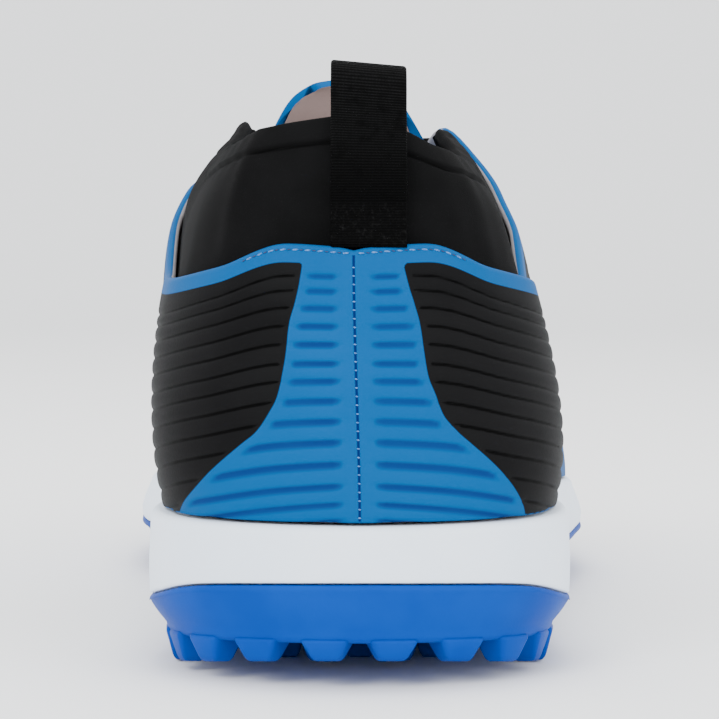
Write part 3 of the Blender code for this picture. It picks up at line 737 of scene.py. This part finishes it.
upperStyle = {
    "wall": 2.0 * mm,
    "columns": 320,
    "rows": 160,
    "lipSteps": 6,
    "innerStep": 10,
    # heights of the grooves at the heel's seam
    "grooves": [height * mm for height in (
        28.4, 31.1, 34.1, 37.7, 41.3, 44.7, 48.0, 51.2, 54.0, 57.1, 60.0, 62.9, 65.5, 67.6,
    )],
    # how far round the grooves sink, as shares up the section: for all, and more for the low ones
    "grooveDip": (0.045, 0.13),
    "grooveFall": ((0, 0.04, 0.1, 0.16, 0.24, 0.4, 1), (0, 0.17, 0.55, 0.98, 1.25, 1.3, 1.3)),
    "heelRise": 0.75 * mm,
    "ribDepth": 0.55 * mm,
    "blueDepth": 0.42 * mm,
    "seamMargin": 3.0 * mm,
    "grooveStart": 0.7 * mm,
    "grooveFade": 1.2 * mm,
    "ribStart": 0.2 * mm,
    "ribFade": 0.8 * mm,
    "bandWidth": 3.2 * mm,
    "notch": 0.4 * mm,
    "notchWidth": 1.5 * mm,
    "frontEnds": 0.44,
    "frontSlant": 0.09,
    # share up the section, and the blue heel panel's edge as a way round on the inner and outer side
    "panel": (
        (0, 0.121, 0.101),
        (0.05, 0.113, 0.097),
        (0.12, 0.099, 0.089),
        (0.19, 0.086, 0.079),
        (0.25, 0.074, 0.069),
        (0.3, 0.064, 0.06),
        (0.34, 0.056, 0.053),
        (0.405, 0.049, 0.045),
        (0.47, 0.044, 0.0418),
        (0.55, 0.0415, 0.038),
        (0.62, 0.04, 0.037),
        (0.72, 0.039, 0.036),
        (0.8, 0.036, 0.0335),
        (0.86, 0.034, 0.031),
        (0.95, 0.032, 0.028),
        (1, 0.03, 0.0265),
    ),
}


def grooveNumbers(ups, ways):
    # whole numbers lie on the grooves, counted from the lowest
    table = np.linspace(0, 1, 200)
    heights = bezier(upperSection(0.012), table)[:, 2]
    marks = np.interp(upperStyle["grooves"], heights, table)
    fall = Curve(*upperStyle["grooveFall"]).over(np.abs(ways))
    level, lean = upperStyle["grooveDip"]
    lifted = ups + fall * (level + lean * (1 - ups))
    count = len(marks)
    ends = np.concatenate(([marks[0] - 0.07], marks, [marks[-1] + 0.05, 1.6]))
    steps = np.concatenate(([0], np.arange(1, count + 1), [count + 1, count + 10]))
    return np.interp(lifted, ends, steps)


def heelRise(way, up):
    # the topline stands a little prouder between the heel panel's corners
    return upperStyle["heelRise"] * (1 - ease(0.048, 0.102, np.abs(way))) * ease(0.80, 1.0, up)


def panelEdges(ups, ways, around, rises, topDist):
    # signed distances: past the blue heel panel's edge, and inside the black panel
    style = upperStyle
    inner, outer = columnsOf(style["panel"])
    edge = np.where(ways >= 0, outer.over(ups), inner.over(ups))
    perWay = np.gradient(around, axis=1) / np.gradient(ways, axis=1)
    pastBlue = (np.abs(ways) - edge) * perWay
    slant = np.gradient(pastBlue, axis=0) / np.maximum(np.gradient(rises, axis=0), 1e-6)
    pastBlue = pastBlue / np.sqrt(1 + slant**2)
    front = style["frontEnds"] + style["frontSlant"] * (1 - ups) ** 1.5
    frontDist = (front - np.abs(ways)) * perWay
    black = np.minimum(np.minimum(pastBlue, topDist - style["bandWidth"]), frontDist)
    return pastBlue, black


def ribRelief(ups, ways, pastBlue, black, seamDist):
    # ribs on the black panels, short soft grooves on the blue one
    style = upperStyle
    number = grooveNumbers(ups, ways)
    phase = number - np.clip(np.round(number), 1, len(style["grooves"]))
    scallop = np.sqrt(np.clip(1 - (1 - np.clip(2 * np.abs(phase), 0, 1)) ** 2.2, 0, 1)) - 1
    soft = -np.where(phase > 0, bump(phase, 0.13), bump(phase, 0.26))
    onBlack = ease(0.0, style["ribFade"], black - style["ribStart"])
    onBlack = onBlack * (1 - ease(style["frontEnds"] - 0.06, style["frontEnds"], np.abs(ways)))
    onBlue = ease(0.0, style["grooveFade"], -pastBlue - style["grooveStart"])
    onBlue = onBlue * ease(-0.8 * mm, 0.8 * mm, seamDist - style["seamMargin"])
    relief = style["ribDepth"] * scallop * onBlack + style["blueDepth"] * soft * onBlue
    # the second value is a mask of painted shade that darkens the grooves' colour
    grooveShade = np.clip(-np.where(onBlack > onBlue, scallop * onBlack, soft * onBlue), 0, 1)
    return relief, grooveShade


def buildUpper():
    style, wall = upperStyle, upperStyle["wall"]
    ways = spread(style["columns"])
    sections = [upperSection(way) for way in ways]
    lengths = np.array([runOf(bezier(section, np.linspace(0, 1, 13)))[-1] for section in sections])
    lip = 1 - ease(last["throatEnd"] - 0.04, last["throatEnd"] - 0.005, np.abs(ways))
    shares = np.linspace(0, 1, style["rows"] + 1)
    ups = shares[:, None] * (1 - lip * wall / 2 / lengths)[None, :]
    wayGrid = np.broadcast_to(ways, ups.shape)
    base = np.stack([bezier(section, ups[:, c]) for c, section in enumerate(sections)], axis=1)
    normals = normalsOf(base, wrapped=True)

    # the two sides meet on the middle line in front of the throat
    closed = (np.abs(ways) >= last["throatEnd"] - 0.002)[:, None]
    base[-1] = np.where(closed, (base[-1] + base[-1][::-1]) / 2, base[-1])
    normals[-1] = np.where(closed, unit(normals[-1] + normals[-1][::-1]), normals[-1])
    around, rises = lengthsAlong(base, 1), lengthsAlong(base, 0)
    seamDist = np.abs(around - around[:, [style["columns"] // 2]])
    topDist = rises[-1:] - rises + lip * wall / 2
    pastBlue, black = panelEdges(ups, wayGrid, around, rises, topDist)
    relief, grooveShade = ribRelief(ups, wayGrid, pastBlue, black, seamDist)

    notch = style["notch"] * bump(seamDist[-1], style["notchWidth"]) * (np.abs(ways) < 0.05)
    lift = heelRise(wayGrid, shares[:, None]) - notch[None, :] * ease(0.93, 1.0, shares)[:, None]
    base[..., 2] += lift
    outside = base + normals * relief[..., None]
    turned = roundedLip(base, normals, wall, style["lipSteps"], lip[:, None])
    rows = list(range(style["rows"], -1, -style["innerStep"]))
    if rows[-1]:
        rows.append(0)
    within = base[rows] - normals[rows] * wall
    points = np.concatenate((outside, turned, within, outside[:1]))
    fields, extra = {}, len(points) - len(outside)
    # the groove field carries the painted groove shade to the skin's colour
    for name, values, rest in (("panel", black, -1.0), ("grooveShade", grooveShade, 0.0), ("seam", seamDist, 1.0)):
        fields[name] = np.concatenate((values, np.full((extra, len(ways)), rest)))
    mesh, verts = lattice(points, fields)

    # the lip ends with the throat, and the lining begins halfway round it
    spots = {vert: divmod(i, len(ways)) for i, vert in enumerate(verts)}
    firstLip, lastLip = len(outside) - 1, len(outside) + len(turned)
    doomed = []
    for face in mesh.faces:
        rowsHere, columnsHere = zip(*(spots[vert] for vert in face.verts))
        nearest = min(abs(ways[column]) for column in columnsHere)
        onLip = min(rowsHere) >= firstLip and max(rowsHere) <= lastLip
        if onLip and nearest >= last["throatEnd"] - 0.001:
            doomed.append(face)
        if min(rowsHere) >= len(outside) + len(turned) // 2:
            face.material_index = 1
    bmesh.ops.delete(mesh, geom=doomed, context="FACES")
    weld(mesh)
    return pieceOf("shoe_upper", mesh, "upper", (skin, paleLining))


buildUpper()
print("upper built")


# Collar

collarStyle = {
    "wall": 2.6 * mm,
    "height": 94.5 * mm,
    "puff": 3.0 * mm,
    "root": 0.74,
    "turn": 0.99,
    "hidden": 0.4,
    "end": 0.495,
    "columns": 220,
    "rows": 72,
    "hemWidth": 4.3 * mm,
    "hemPuff": 0.35 * mm,
    "seamDepth": 0.4 * mm,
    "seamWidth": 0.3 * mm,
    "ripple": 0.25 * mm,
    # way round, width and depth of each upright fold
    "folds": ((-0.105, 0.012, 0.5 * mm), (0.115, 0.013, 0.45 * mm)),
}
hemTop = collarStyle["height"]
# at, across, along, height
hemCurves = {
    True: columnsOf((
        (0.000, -last["seamLean"], 0.045, hemTop),
        (0.045, 0.195 * ankle, 0.049, 0.972 * hemTop),
        (0.090, 0.330 * ankle, 0.060, 0.947 * hemTop),
        (0.170, 0.510 * ankle, 0.132, 0.925 * hemTop),
        (0.270, 0.585 * ankle, 0.250, 0.908 * hemTop),
        (0.360, 0.570 * ankle, 0.347, 0.932 * hemTop),
        (0.420, 0.540 * ankle, 0.424, 0.984 * hemTop),
        (0.505, 0.446 * ankle, 0.510, 1.048 * hemTop),
    )),
    False: columnsOf((
        (0.000, last["seamLean"], 0.045, hemTop),
        (0.090, 0.400 * ankle, 0.060, 0.979 * hemTop),
        (0.170, 0.600 * ankle, 0.132, 0.955 * hemTop),
        (0.270, 0.716 * ankle, 0.250, 0.936 * hemTop),
        (0.360, 0.730 * ankle, 0.340, 0.958 * hemTop),
        (0.420, 0.700 * ankle, 0.410, 1.000 * hemTop),
        (0.505, 0.650 * ankle, 0.503, 1.064 * hemTop),
    )),
}


def collarColumn(way, ups):
    style, gap, wall = collarStyle, upperSeat["gap"], upperStyle["wall"]
    root = inside(way, style["root"], wall + gap)
    edge = inside(way, style["turn"], wall + 1.6 * gap)
    across, along, height = (curve(abs(way)) for curve in hemCurves[way >= 0])
    side = 1 if way >= 0 else -1
    high = np.array((side * across, along * last["length"], height))
    leave = unit(edge - root) * np.linalg.norm(high - edge) * 0.45
    out = rim(way)[1]
    second = mix(edge, high, 0.62) + np.array((out.x, out.y, 0)) * style["puff"]
    free = np.array((edge, edge + leave, second, high))
    points = []
    for up in ups:
        if up <= style["hidden"]:
            share = up / style["hidden"]
            up = mix(style["root"], style["turn"], share)
            points.append(inside(way, up, wall + mix(1.0, 1.6, share) * gap))
        else:
            points.append(bezier(free, (up - style["hidden"]) / (1 - style["hidden"])))
    return points


def buildCollar():
    style = collarStyle
    ways = spread(style["columns"], 0.8) * style["end"]
    shares = np.linspace(0, 1, style["rows"] + 1)
    ups = np.where(shares < 0.15, shares / 0.15 * 0.36, 0.36 + (shares - 0.15) / 0.85 * 0.64)
    base = np.stack([collarColumn(way, ups) for way in ways], axis=1)
    normals = normalsOf(base)
    rises = lengthsAlong(base, 0)
    topDist = rises[-1:] - rises
    wayGrid = np.broadcast_to(ways, topDist.shape)
    hem = 1 - ease(style["hemWidth"] - 0.5 * mm, style["hemWidth"], topDist)
    seam = bump(topDist - style["hemWidth"], style["seamWidth"])
    free = ease(0.40, 0.52, ups)[:, None]
    fold = sum(depth * bump(wayGrid - way, width) for way, width, depth in style["folds"])
    ripple = style["ripple"] * np.sin(wayGrid * 210) * np.sin(wayGrid * 67 + 1.0)
    ripple = ripple * (1 - ease(0, 9 * mm, topDist)) * ease(0.06, 0.16, np.abs(wayGrid))
    relief = style["hemPuff"] * hem - style["seamDepth"] * seam + (fold + ripple) * (1 - hem * 0.5)
    outside = base + normals * (relief * free)[..., None]
    turned = roundedLip(outside, normals, style["wall"], 7, 0.6)
    rows = list(range(style["rows"], -1, -4))
    within = outside[rows] - normals[rows] * style["wall"]
    points = np.concatenate((outside, turned, within, outside[:1]))
    extra = len(points) - len(outside)
    seamField = np.concatenate((seam * free, np.zeros((extra, seam.shape[1]))))
    mesh, _ = lattice(points, {"hemSeam": seamField})
    closeEnds(mesh)
    return pieceOf("stretch_collar", mesh, "collar", (knit,))


buildCollar()
print("collar built")


# Tongue

tongueStyle = {
    "wall": 2.0 * mm,
    "rise": 12.6 * mm,
    "crown": 2.2 * mm,
    "wings": (0.84, 1.0),
    "root": 0.69,
    "lean": 0.35,
    "softEdge": 0.6 * mm,
    # rise, width, back
    "top": (
        (0.00, 0.96, 0.00),
        (0.30, 0.82, 0.30),
        (0.60, 0.72, 0.55),
        (0.85, 0.60, 0.80),
        (1.00, 0.42, 1.00),
    ),
}


def tongueRow(at):
    style, gap = tongueStyle, upperSeat["gap"]
    behind = 1 - ease(last["throatTop"] + 0.02, 0.60, at)
    depth = upperStyle["wall"] + 2.4 * gap + (collarStyle["wall"] + gap) * behind
    wing = np.linspace(*style["wings"], 9)
    left = [inside(-at, up, depth) for up in wing]
    right = [inside(at, up, depth) for up in wing[::-1]]
    bridge = []
    for share in np.linspace(0, 1, 17)[1:-1]:
        crown = style["crown"] * 4 * share * (1 - share)
        bridge.append(mix(left[-1], right[0], share) + np.array((0, 0, crown)))
    return left + bridge + right


def buildTongue():
    style = tongueStyle
    spots = np.linspace(style["root"], last["throatTop"] + 0.004, 40)
    rows = [np.array(tongueRow(at)) for at in spots]
    tip = rows[-1]
    heart = tip.mean(axis=0)
    width, back = columnsOf(style["top"])
    for rise in np.linspace(0, 1, 19)[1:]:
        lift = np.array((0, -style["lean"] * back(rise), rise)) * style["rise"]
        rows.append(heart + (tip - heart) * width(rise) / width(0) + lift)
    points = np.array(rows)
    for _ in range(3):
        points[1:-1] = points[1:-1] * 0.5 + (points[:-2] + points[2:]) * 0.25
        points[:, 1:-1] = points[:, 1:-1] * 0.5 + (points[:, :-2] + points[:, 2:]) * 0.25
    points = points[:, ::-1]
    # all blue, without a seam
    fields = {"panel": np.full(points.shape[:2], -1.0), "seam": np.full(points.shape[:2], 1.0)}
    mesh, _ = lattice(points, fields)
    piece = pieceOf("tongue_flap", mesh, "tongue", (skin, lining), recalc=False)
    wall = piece.modifiers.new("wall", "SOLIDIFY")
    wall.thickness = style["wall"]
    wall.offset = -1
    wall.material_offset = 1
    wall.material_offset_rim = 0
    soft = piece.modifiers.new("soft edge", "BEVEL")
    soft.width = style["softEdge"]
    soft.segments = 3
    soft.limit_method = "ANGLE"
    soft.angle_limit = math.radians(55)
    return piece


buildTongue()
print("tongue built")


# Midsole

def soleRings(profile, ways):
    return np.array([[ringPoint(way, *level) for way in ways] for level in profile])


def acrossGrid(level, ways, count=12):
    # a sheet between the two sides of the outline
    rows = []
    for way in ways:
        inner, outer = (np.array(ringPoint(side * way, *level)) for side in (-1, 1))
        rows.append([mix(inner, outer, share) for share in np.linspace(0, 1, count + 1)])
    return np.array(rows)


def joined(first, second):
    # moves the second mesh's faces into the first
    data = bpy.data.meshes.new("part")
    second.to_mesh(data)
    second.free()
    first.from_mesh(data)
    bpy.data.meshes.remove(data)
    return first


def closedStack(profile, columns=240):
    # side walls through the levels of a profile, closed by a sheet at the lowest and the highest;
    # a level is its inset from the outline, its height along the sole and its flare
    ways = np.linspace(-1, 1, columns + 1)
    mesh, _ = lattice(soleRings(profile, ways))
    half = ways[columns // 2:]
    for level in (profile[0], profile[-1]):
        cover, _ = lattice(acrossGrid(level, half))
        mesh = joined(mesh, cover)
    weld(mesh, 0.02 * mm)
    return mesh


def between(low, high, share):
    return lambda along: mix(low(along), high(along), share)


def shifted(height, lift):
    return lambda along: height(along) + lift


def buildMidsole():
    sizes, gap = soleSizes, upperSeat["gap"]
    bend, flare = sizes["edgeRound"], sizes["foreFlare"]
    seat = shifted(baseAt, sizes["plate"] + gap)
    profile = [
        (sizes["cupWall"] + bend + 1.5 * gap, seat, 0.0),
        (sizes["cupWall"] + 1.5 * gap, shifted(wrapAt, gap), 0.0),
        (bend / 2, shifted(wrapAt, gap), 0.0),
        (bend / 8, shifted(wrapAt, gap + 0.15 * mm), 0.0),
        (bend / 14, shifted(wrapAt, gap + 0.7 * mm), 0.0),
        (0.0, between(wrapAt, stackAt, 0.25), 0.0),
        (0.0, between(wrapAt, stackAt, 0.45), 0.3 * flare),
        (0.1 * bend, between(wrapAt, stackAt, 0.65), 0.65 * flare),
    ]
    for angle in quarterTurn(6):
        inset = 0.2 * bend + bend * (1 - math.cos(angle))
        profile.append((inset, shifted(stackAt, bend * (math.sin(angle) - 1)), flare))
    mesh = closedStack(profile)
    return pieceOf("foam_midsole", mesh, "midsole", (foam,))


buildMidsole()
print("midsole built")


# Outsole

lugStyle = {
    "length": 8.6 * mm,
    "width": 7 * mm,
    "pitch": 13.2 * mm,
    "margin": 6.2 * mm,
    "taper": 0.52,
    "root": 1.0 * mm,
    "round": 1.2 * mm,
}


def lugPlaces():
    # centre and heading of each lug: a row along the outline, then staggered rows within it
    style, places = lugStyle, []
    for side, run in ((1, outerRun), (-1, innerRun)):
        count = round(run[3] / style["pitch"])
        for i in range(count):
            plan, out = rim(side * (i + 0.5) / count, style["margin"])
            places.append((plan, math.atan2(out.y, out.x) + math.pi / 2))
    reach = style["margin"] + style["pitch"] * 0.84
    rows = round((last["length"] - 2 * reach) / style["pitch"])
    count = round(last["ballWidth"] / style["pitch"])
    for row in range(rows + 1):
        y = reach + row * (last["length"] - 2 * reach) / rows
        for k in range(-count, count):
            spot = Vector(((k + 0.5 * (row % 2)) * style["pitch"], y))
            if all(clearOf(spot, run[0], reach) for run in (outerRun, innerRun)):
                places.append((spot, 0.0))
    return places


def clearOf(spot, points, reach):
    nearest = min(points, key=lambda point: (point - spot).length)
    return (nearest - spot).length >= reach and abs(spot.x) < last["ballWidth"] / 2 - reach


def lugBlock(plan, heading):
    style, block = lugStyle, bmesh.new()
    tall = soleSizes["lugHeight"] + style["root"]
    bmesh.ops.create_cube(block, size=1.0)
    bmesh.ops.scale(block, vec=(style["length"], style["width"], tall), verts=block.verts)
    bmesh.ops.bevel(
        block, geom=block.edges[:], offset=style["round"], segments=3, profile=0.5,
        affect="EDGES", material=-1,
    )
    turn = Matrix.Rotation(heading, 3, "Z")
    for vert in block.verts:
        share = vert.co.z / tall + 0.5
        size = mix(style["taper"], 1.0, share)
        reach = turn @ Vector((vert.co.x * size, vert.co.y * size, 0))
        along = (plan.y + reach.y) / last["length"]
        height = mix(groundAt(along), baseAt(along) + style["root"], share)
        vert.co = Vector((plan.x + reach.x, plan.y + reach.y, height)) + Vector(home)
    return block


def buildOutsole():
    sizes = soleSizes
    taper, bend = sizes["sideTaper"], sizes["edgeRound"]
    profile = []
    for angle in quarterTurn(5):
        inset = taper + bend * (1 - math.sin(angle))
        profile.append((inset, shifted(baseAt, bend * (1 - math.cos(angle))), 0.0))
    belly = Curve((0.0, 0.5, 0.93, 1.0), (taper, taper * 0.38, 0.02 * taper, 0.0))
    for share in (0.12, 0.25, 0.38, 0.5, 0.62, 0.74, 0.84):
        low = shifted(baseAt, bend)
        profile.append((belly(share), between(low, wrapAt, share), 0.0))
    profile += [
        (0.0, shifted(wrapAt, -0.9 * mm), 0.0),
        (0.08 * bend, shifted(wrapAt, -0.35 * mm), 0.0),
        (0.22 * bend, shifted(wrapAt, -0.08 * mm), 0.0),
        (0.45 * bend, wrapAt, 0.0),
        (sizes["cupWall"], wrapAt, 0.0),
        (sizes["cupWall"] + bend, shifted(baseAt, sizes["plate"]), 0.0),
    ]
    mesh = closedStack(profile)
    bmesh.ops.recalc_face_normals(mesh, faces=mesh.faces)
    blocks = bmesh.new()
    for plan, heading in lugPlaces():
        blocks = joined(blocks, lugBlock(plan, heading))
    bmesh.ops.recalc_face_normals(blocks, faces=blocks.faces)
    mesh = joined(mesh, blocks)
    return pieceOf("rubber_outsole", mesh, "outsole", (rubber,), recalc=False)


buildOutsole()
print("outsole built")


# Insole

insoleStyle = {"thick": 3.4 * mm, "play": 0.9 * mm}


def buildInsole():
    gap, flare = upperSeat["gap"], upperSeat["lean"]
    inset = upperSeat["inset"] + upperStyle["wall"] + insoleStyle["play"]
    bend, thick = soleSizes["edgeRound"], insoleStyle["thick"]
    profile = [
        (inset, shifted(stackAt, gap), flare),
        (inset - gap, shifted(stackAt, gap + thick / 2), flare),
    ]
    for angle in quarterTurn(4):
        lift = gap + thick + bend * (math.sin(angle) - 1)
        profile.append((inset + bend * (1 - math.cos(angle)), shifted(stackAt, lift), flare))
    mesh = closedStack(profile, 160)
    return pieceOf("cloth_insole", mesh, "insole", (lining,))


buildInsole()
print("insole built")


# Pull loop and laces

def ribbon(path, side, width, thickness, softness=0.45):
    # a flat band with rounded edges along a path; the side points across it
    sides = np.array([side] * len(path))
    lifts = unit(np.cross(sides, np.gradient(path, axis=0)))
    bend = thickness * softness
    outline = []
    for cornerX, cornerY, start in ((1, 1, 0), (-1, 1, 90), (-1, -1, 180), (1, -1, 270)):
        for turn in (0, 30, 60, 90):
            angle = math.radians(start + turn)
            x = cornerX * (width / 2 - bend) + bend * math.cos(angle)
            y = cornerY * (thickness / 2 - bend) + bend * math.sin(angle)
            outline.append((x, y))
    filled = []
    for (x, y), (nextX, nextY) in zip(outline, outline[1:] + outline[:1]):
        steps = max(1, int(math.hypot(nextX - x, nextY - y) / (1.2 * mm)))
        filled += [(mix(x, nextX, k / steps), mix(y, nextY, k / steps)) for k in range(steps)]
    filled.append(filled[0])
    shape = np.array(filled)
    points = path[:, None] + sides[:, None] * shape[None, :, :1] + lifts[:, None] * shape[None, :, 1:]
    uv = np.stack(np.broadcast_arrays(shape[None, :, 0], runOf(path)[:, None]), axis=2)
    mesh, _ = lattice(points, uv=uv)
    closeEnds(mesh)
    return mesh


def smoothRun(points, steps):
    # even steps along a soft curve through the points
    points = np.array(points, float)
    lengths = runOf(points)
    padded = np.concatenate(([2 * points[0] - points[1]], points, [2 * points[-1] - points[-2]]))
    run = []
    for s in np.linspace(0, lengths[-1], steps):
        i = min(np.searchsorted(lengths, s, side="right") - 1, len(points) - 2)
        share = (s - lengths[i]) / (lengths[i + 1] - lengths[i])
        a, b, c, d = padded[i:i + 4]
        square, cube = 2 * a - 5 * b + 4 * c - d, 3 * b - a - 3 * c + d
        run.append(0.5 * (2 * b + (c - a) * share + square * share**2 + cube * share**3))
    return np.array(run)


loopStyle = {
    "width": 12.6 * mm,
    "thick": 1.5 * mm,
    "top": 103.4 * mm,
    "inside": 82 * mm,
    "shift": 1.5 * mm,
    "slant": -0.09,
    "slantDown": 22 * mm,
    "softness": 0.35,
    # where the back strap lies on the collar, as shares up it
    "strap": (0.43, 0.55, 0.70, 0.85, 1.0),
}


def collarInside(across, up):
    way = 0.0
    while collarColumn(way, [up])[0][0] < across:
        way += 0.002
    here, ahead = collarColumn(way, [up])[0], collarColumn(way + 0.004, [up])[0]
    return here[1] + collarStyle["wall"] / unit(ahead - here)[0]


def buildPullLoop():
    style, gap = loopStyle, upperSeat["gap"]
    clear = style["thick"] / 2 + 1.5 * gap
    path = [point - np.array((0, clear, 0)) for point in collarColumn(0.0, style["strap"])]
    hem = path[-1]
    edge = style["shift"] + style["width"] / 2
    front = max(collarInside(edge, 1.0), collarInside(edge, 0.85)) + clear
    middle, radius = (hem[1] + front) / 2, (front - hem[1]) / 2
    bend = style["top"] - style["thick"] / 2 - radius
    for turn in range(0, 181, 30):
        angle = math.radians(turn)
        path.append(np.array((0, middle - radius * math.cos(angle), bend + radius * math.sin(angle))))
    path.append(np.array((0, front + gap, style["inside"])))
    path = smoothRun(path, 90)
    path[:, 0] = style["shift"]
    mesh = ribbon(path, (1, 0, 0), style["width"], style["thick"], style["softness"])
    for vert in mesh.verts:
        share = ease(style["top"] - style["slantDown"], style["top"], vert.co.z)
        vert.co.z += (vert.co.x - home[0] - style["shift"]) * style["slant"] * share
    return pieceOf("webbing_loop", mesh, "pull_loop", (webbing,))


laceStyle = {
    "width": 6.5 * mm,
    "thick": 1.3 * mm,
    "lift": 1.8 * mm,
    "pairs": 5,
    "eyeletUp": 0.87,
    "eyeletMargin": 0.026,
    "lipUp": 0.985,
    "dive": 1.2 * mm,
    "overLift": 1.35,
    "shoulder": 0.25,
}
# radius, how far below the lace's turn, and each step inward: scale and lift
eyeletStyle = {
    "radius": 2.6 * mm,
    "down": 0.012,
    "proud": 0.15 * mm,
    "steps": ((0.72, 0.35 * mm), (0.85, -0.6 * mm)),
}


def eyeletSpots():
    low = last["throatEnd"] - laceStyle["eyeletMargin"]
    high = last["throatTop"] + laceStyle["eyeletMargin"]
    return np.linspace(low, high, laceStyle["pairs"])


def buildLaces():
    style = laceStyle
    above = -(style["thick"] / 2 + style["lift"])
    turnUp, holeUp = style["eyeletUp"], style["eyeletUp"] - 0.02
    spots = eyeletSpots()
    runs = [(spots[0], 1, spots[0])]
    for low, high in zip(spots, spots[1:]):
        runs += [(low, 1, high), (low, -1, high)]
    whole = bmesh.new()
    for first, side, second in runs:
        over = above * (1.0 if side > 0 else style["overLift"])
        start = inside(side * first, turnUp, above)
        end = inside(-side * second, turnUp, above)
        into = inside(side * first, holeUp, style["dive"])
        outOf = inside(-side * second, holeUp, style["dive"])
        near, far = (
            inside(way * mix(first, second, share), style["lipUp"], over)
            for way, share in ((side, style["shoulder"]), (-side, 1 - style["shoulder"]))
        )
        path = smoothRun([into, start, near, mix(near, far, 0.5), far, end, outOf], 46)
        heading, along = np.array((0, 1, -0.5)), unit(end - start)
        across = unit(heading - along * heading.dot(along))
        whole = joined(whole, ribbon(path, across, style["width"], style["thick"]))
    return pieceOf("flat_laces", whole, "laces", (braid,))


def addEyelet(mesh, way):
    style = eyeletStyle
    radius, up = style["radius"], laceStyle["eyeletUp"]
    ring = bmesh.ops.create_circle(mesh, cap_ends=False, segments=24, radius=radius)["verts"]
    edges, made = list({edge for vert in ring for edge in vert.link_edges}), list(ring)
    for scale, lift in style["steps"]:
        grown = bmesh.ops.extrude_edge_only(mesh, edges=edges)["geom"]
        verts = [item for item in grown if isinstance(item, bmesh.types.BMVert)]
        edges = [item for item in grown if isinstance(item, bmesh.types.BMEdge)]
        bmesh.ops.scale(mesh, verts=verts, vec=(scale, scale, 1))
        bmesh.ops.translate(mesh, verts=verts, vec=(0, 0, lift))
        made += verts
    turn = Vector(outward(way, up)).to_track_quat("Z", "Y").to_matrix().to_4x4()
    place = Vector(inside(way, up - style["down"], -style["proud"]) + home)
    bmesh.ops.transform(mesh, verts=made, matrix=Matrix.Translation(place) @ turn)


def buildEyelets():
    whole = bmesh.new()
    for at in eyeletSpots():
        for side in (1, -1):
            addEyelet(whole, side * at)
    return pieceOf("eyelet_rims", whole, None, (braid,), recalc=False)


buildPullLoop()
buildLaces()
buildEyelets()
print("loop, laces and eyelets built")


# Stitches

stitchStyle = {
    "seamPitch": 1.42 * mm,
    "seamSize": 0.15 * mm,
    "seamStart": 0.8 * mm,
    "seamEnd": 1.8 * mm,
    "linePitch": 2.1 * mm,
    "lineDown": 1.15 * mm,
    "lineSlant": 0.12,
    "lineStart": 1.3 * mm,
    "lineReach": 19 * mm,
    # share of the pitch, half length, radius and finish: a light stitch, then the dark dip, a painted
    # shade mark where the thread dives into the skin
    "marks": ((0.0, 0.40 * mm, 0.16 * mm, 0), (0.5, 0.25 * mm, 0.13 * mm, 1)),
}


def addStitch(mesh, start, end, radius, finish=0):
    middle, along = (start + end) / 2, end - start
    turn = Vector(along).to_track_quat("X", "Z").to_matrix().to_4x4()
    size = Matrix.Diagonal((np.linalg.norm(along) / 2 + radius, radius, radius, 1))
    place = Matrix.Translation(Vector(middle + home)) @ turn @ size
    made = bmesh.ops.create_uvsphere(mesh, u_segments=8, v_segments=6, radius=1.0, matrix=place)["verts"]
    for face in {face for vert in made for face in vert.link_faces}:
        face.material_index = finish


def toplineSpot(middle, ahead, runs, ways, side):
    # a spot on the skin below the topline, a little ahead of a stitch's middle
    style = stitchStyle
    way = np.interp(middle + ahead, runs, ways) * side
    height = np.linalg.norm(upperPoint(way, 1.0) - upperPoint(way, 0.97)) / 0.03
    up = 1 - (style["lineDown"] + style["lineSlant"] * ahead) / height
    return inside(way, up, -0.03 * mm) + np.array((0, 0, heelRise(way, up)))


def buildStitches():
    style, mesh, fine = stitchStyle, bmesh.new(), np.linspace(0, 1, 200)
    lengths = runOf(bezier(upperSection(0.0), fine))
    for s in np.arange(style["seamStart"], lengths[-1] - style["seamEnd"], style["seamPitch"]):
        spot = inside(0.0, np.interp(s, lengths, fine), -0.02 * mm)
        start, end = spot - np.array((0.13 * mm, 0, 0)), spot + np.array((0.10 * mm, 0, 0.04 * mm))
        addStitch(mesh, start, end, style["seamSize"])
    ways = np.linspace(0, 0.09, 200)
    for side in (1, -1):
        runs = runOf(np.array([upperPoint(way * side, 1.0) for way in ways]))
        for s in np.arange(style["lineStart"], style["lineReach"], style["linePitch"]):
            for share, reach, radius, finish in style["marks"]:
                middle = s + share * style["linePitch"]
                start, end = (toplineSpot(middle, ahead, runs, ways, side) for ahead in (-reach, reach))
                addStitch(mesh, start, end, radius, finish)
    # the second finish is painted shade at the stitches' dips
    finishes = (blueThread, stitchDipShade)
    return pieceOf("heel_stitches", mesh, None, finishes, recalc=False)


buildStitches()
print("stitches built")
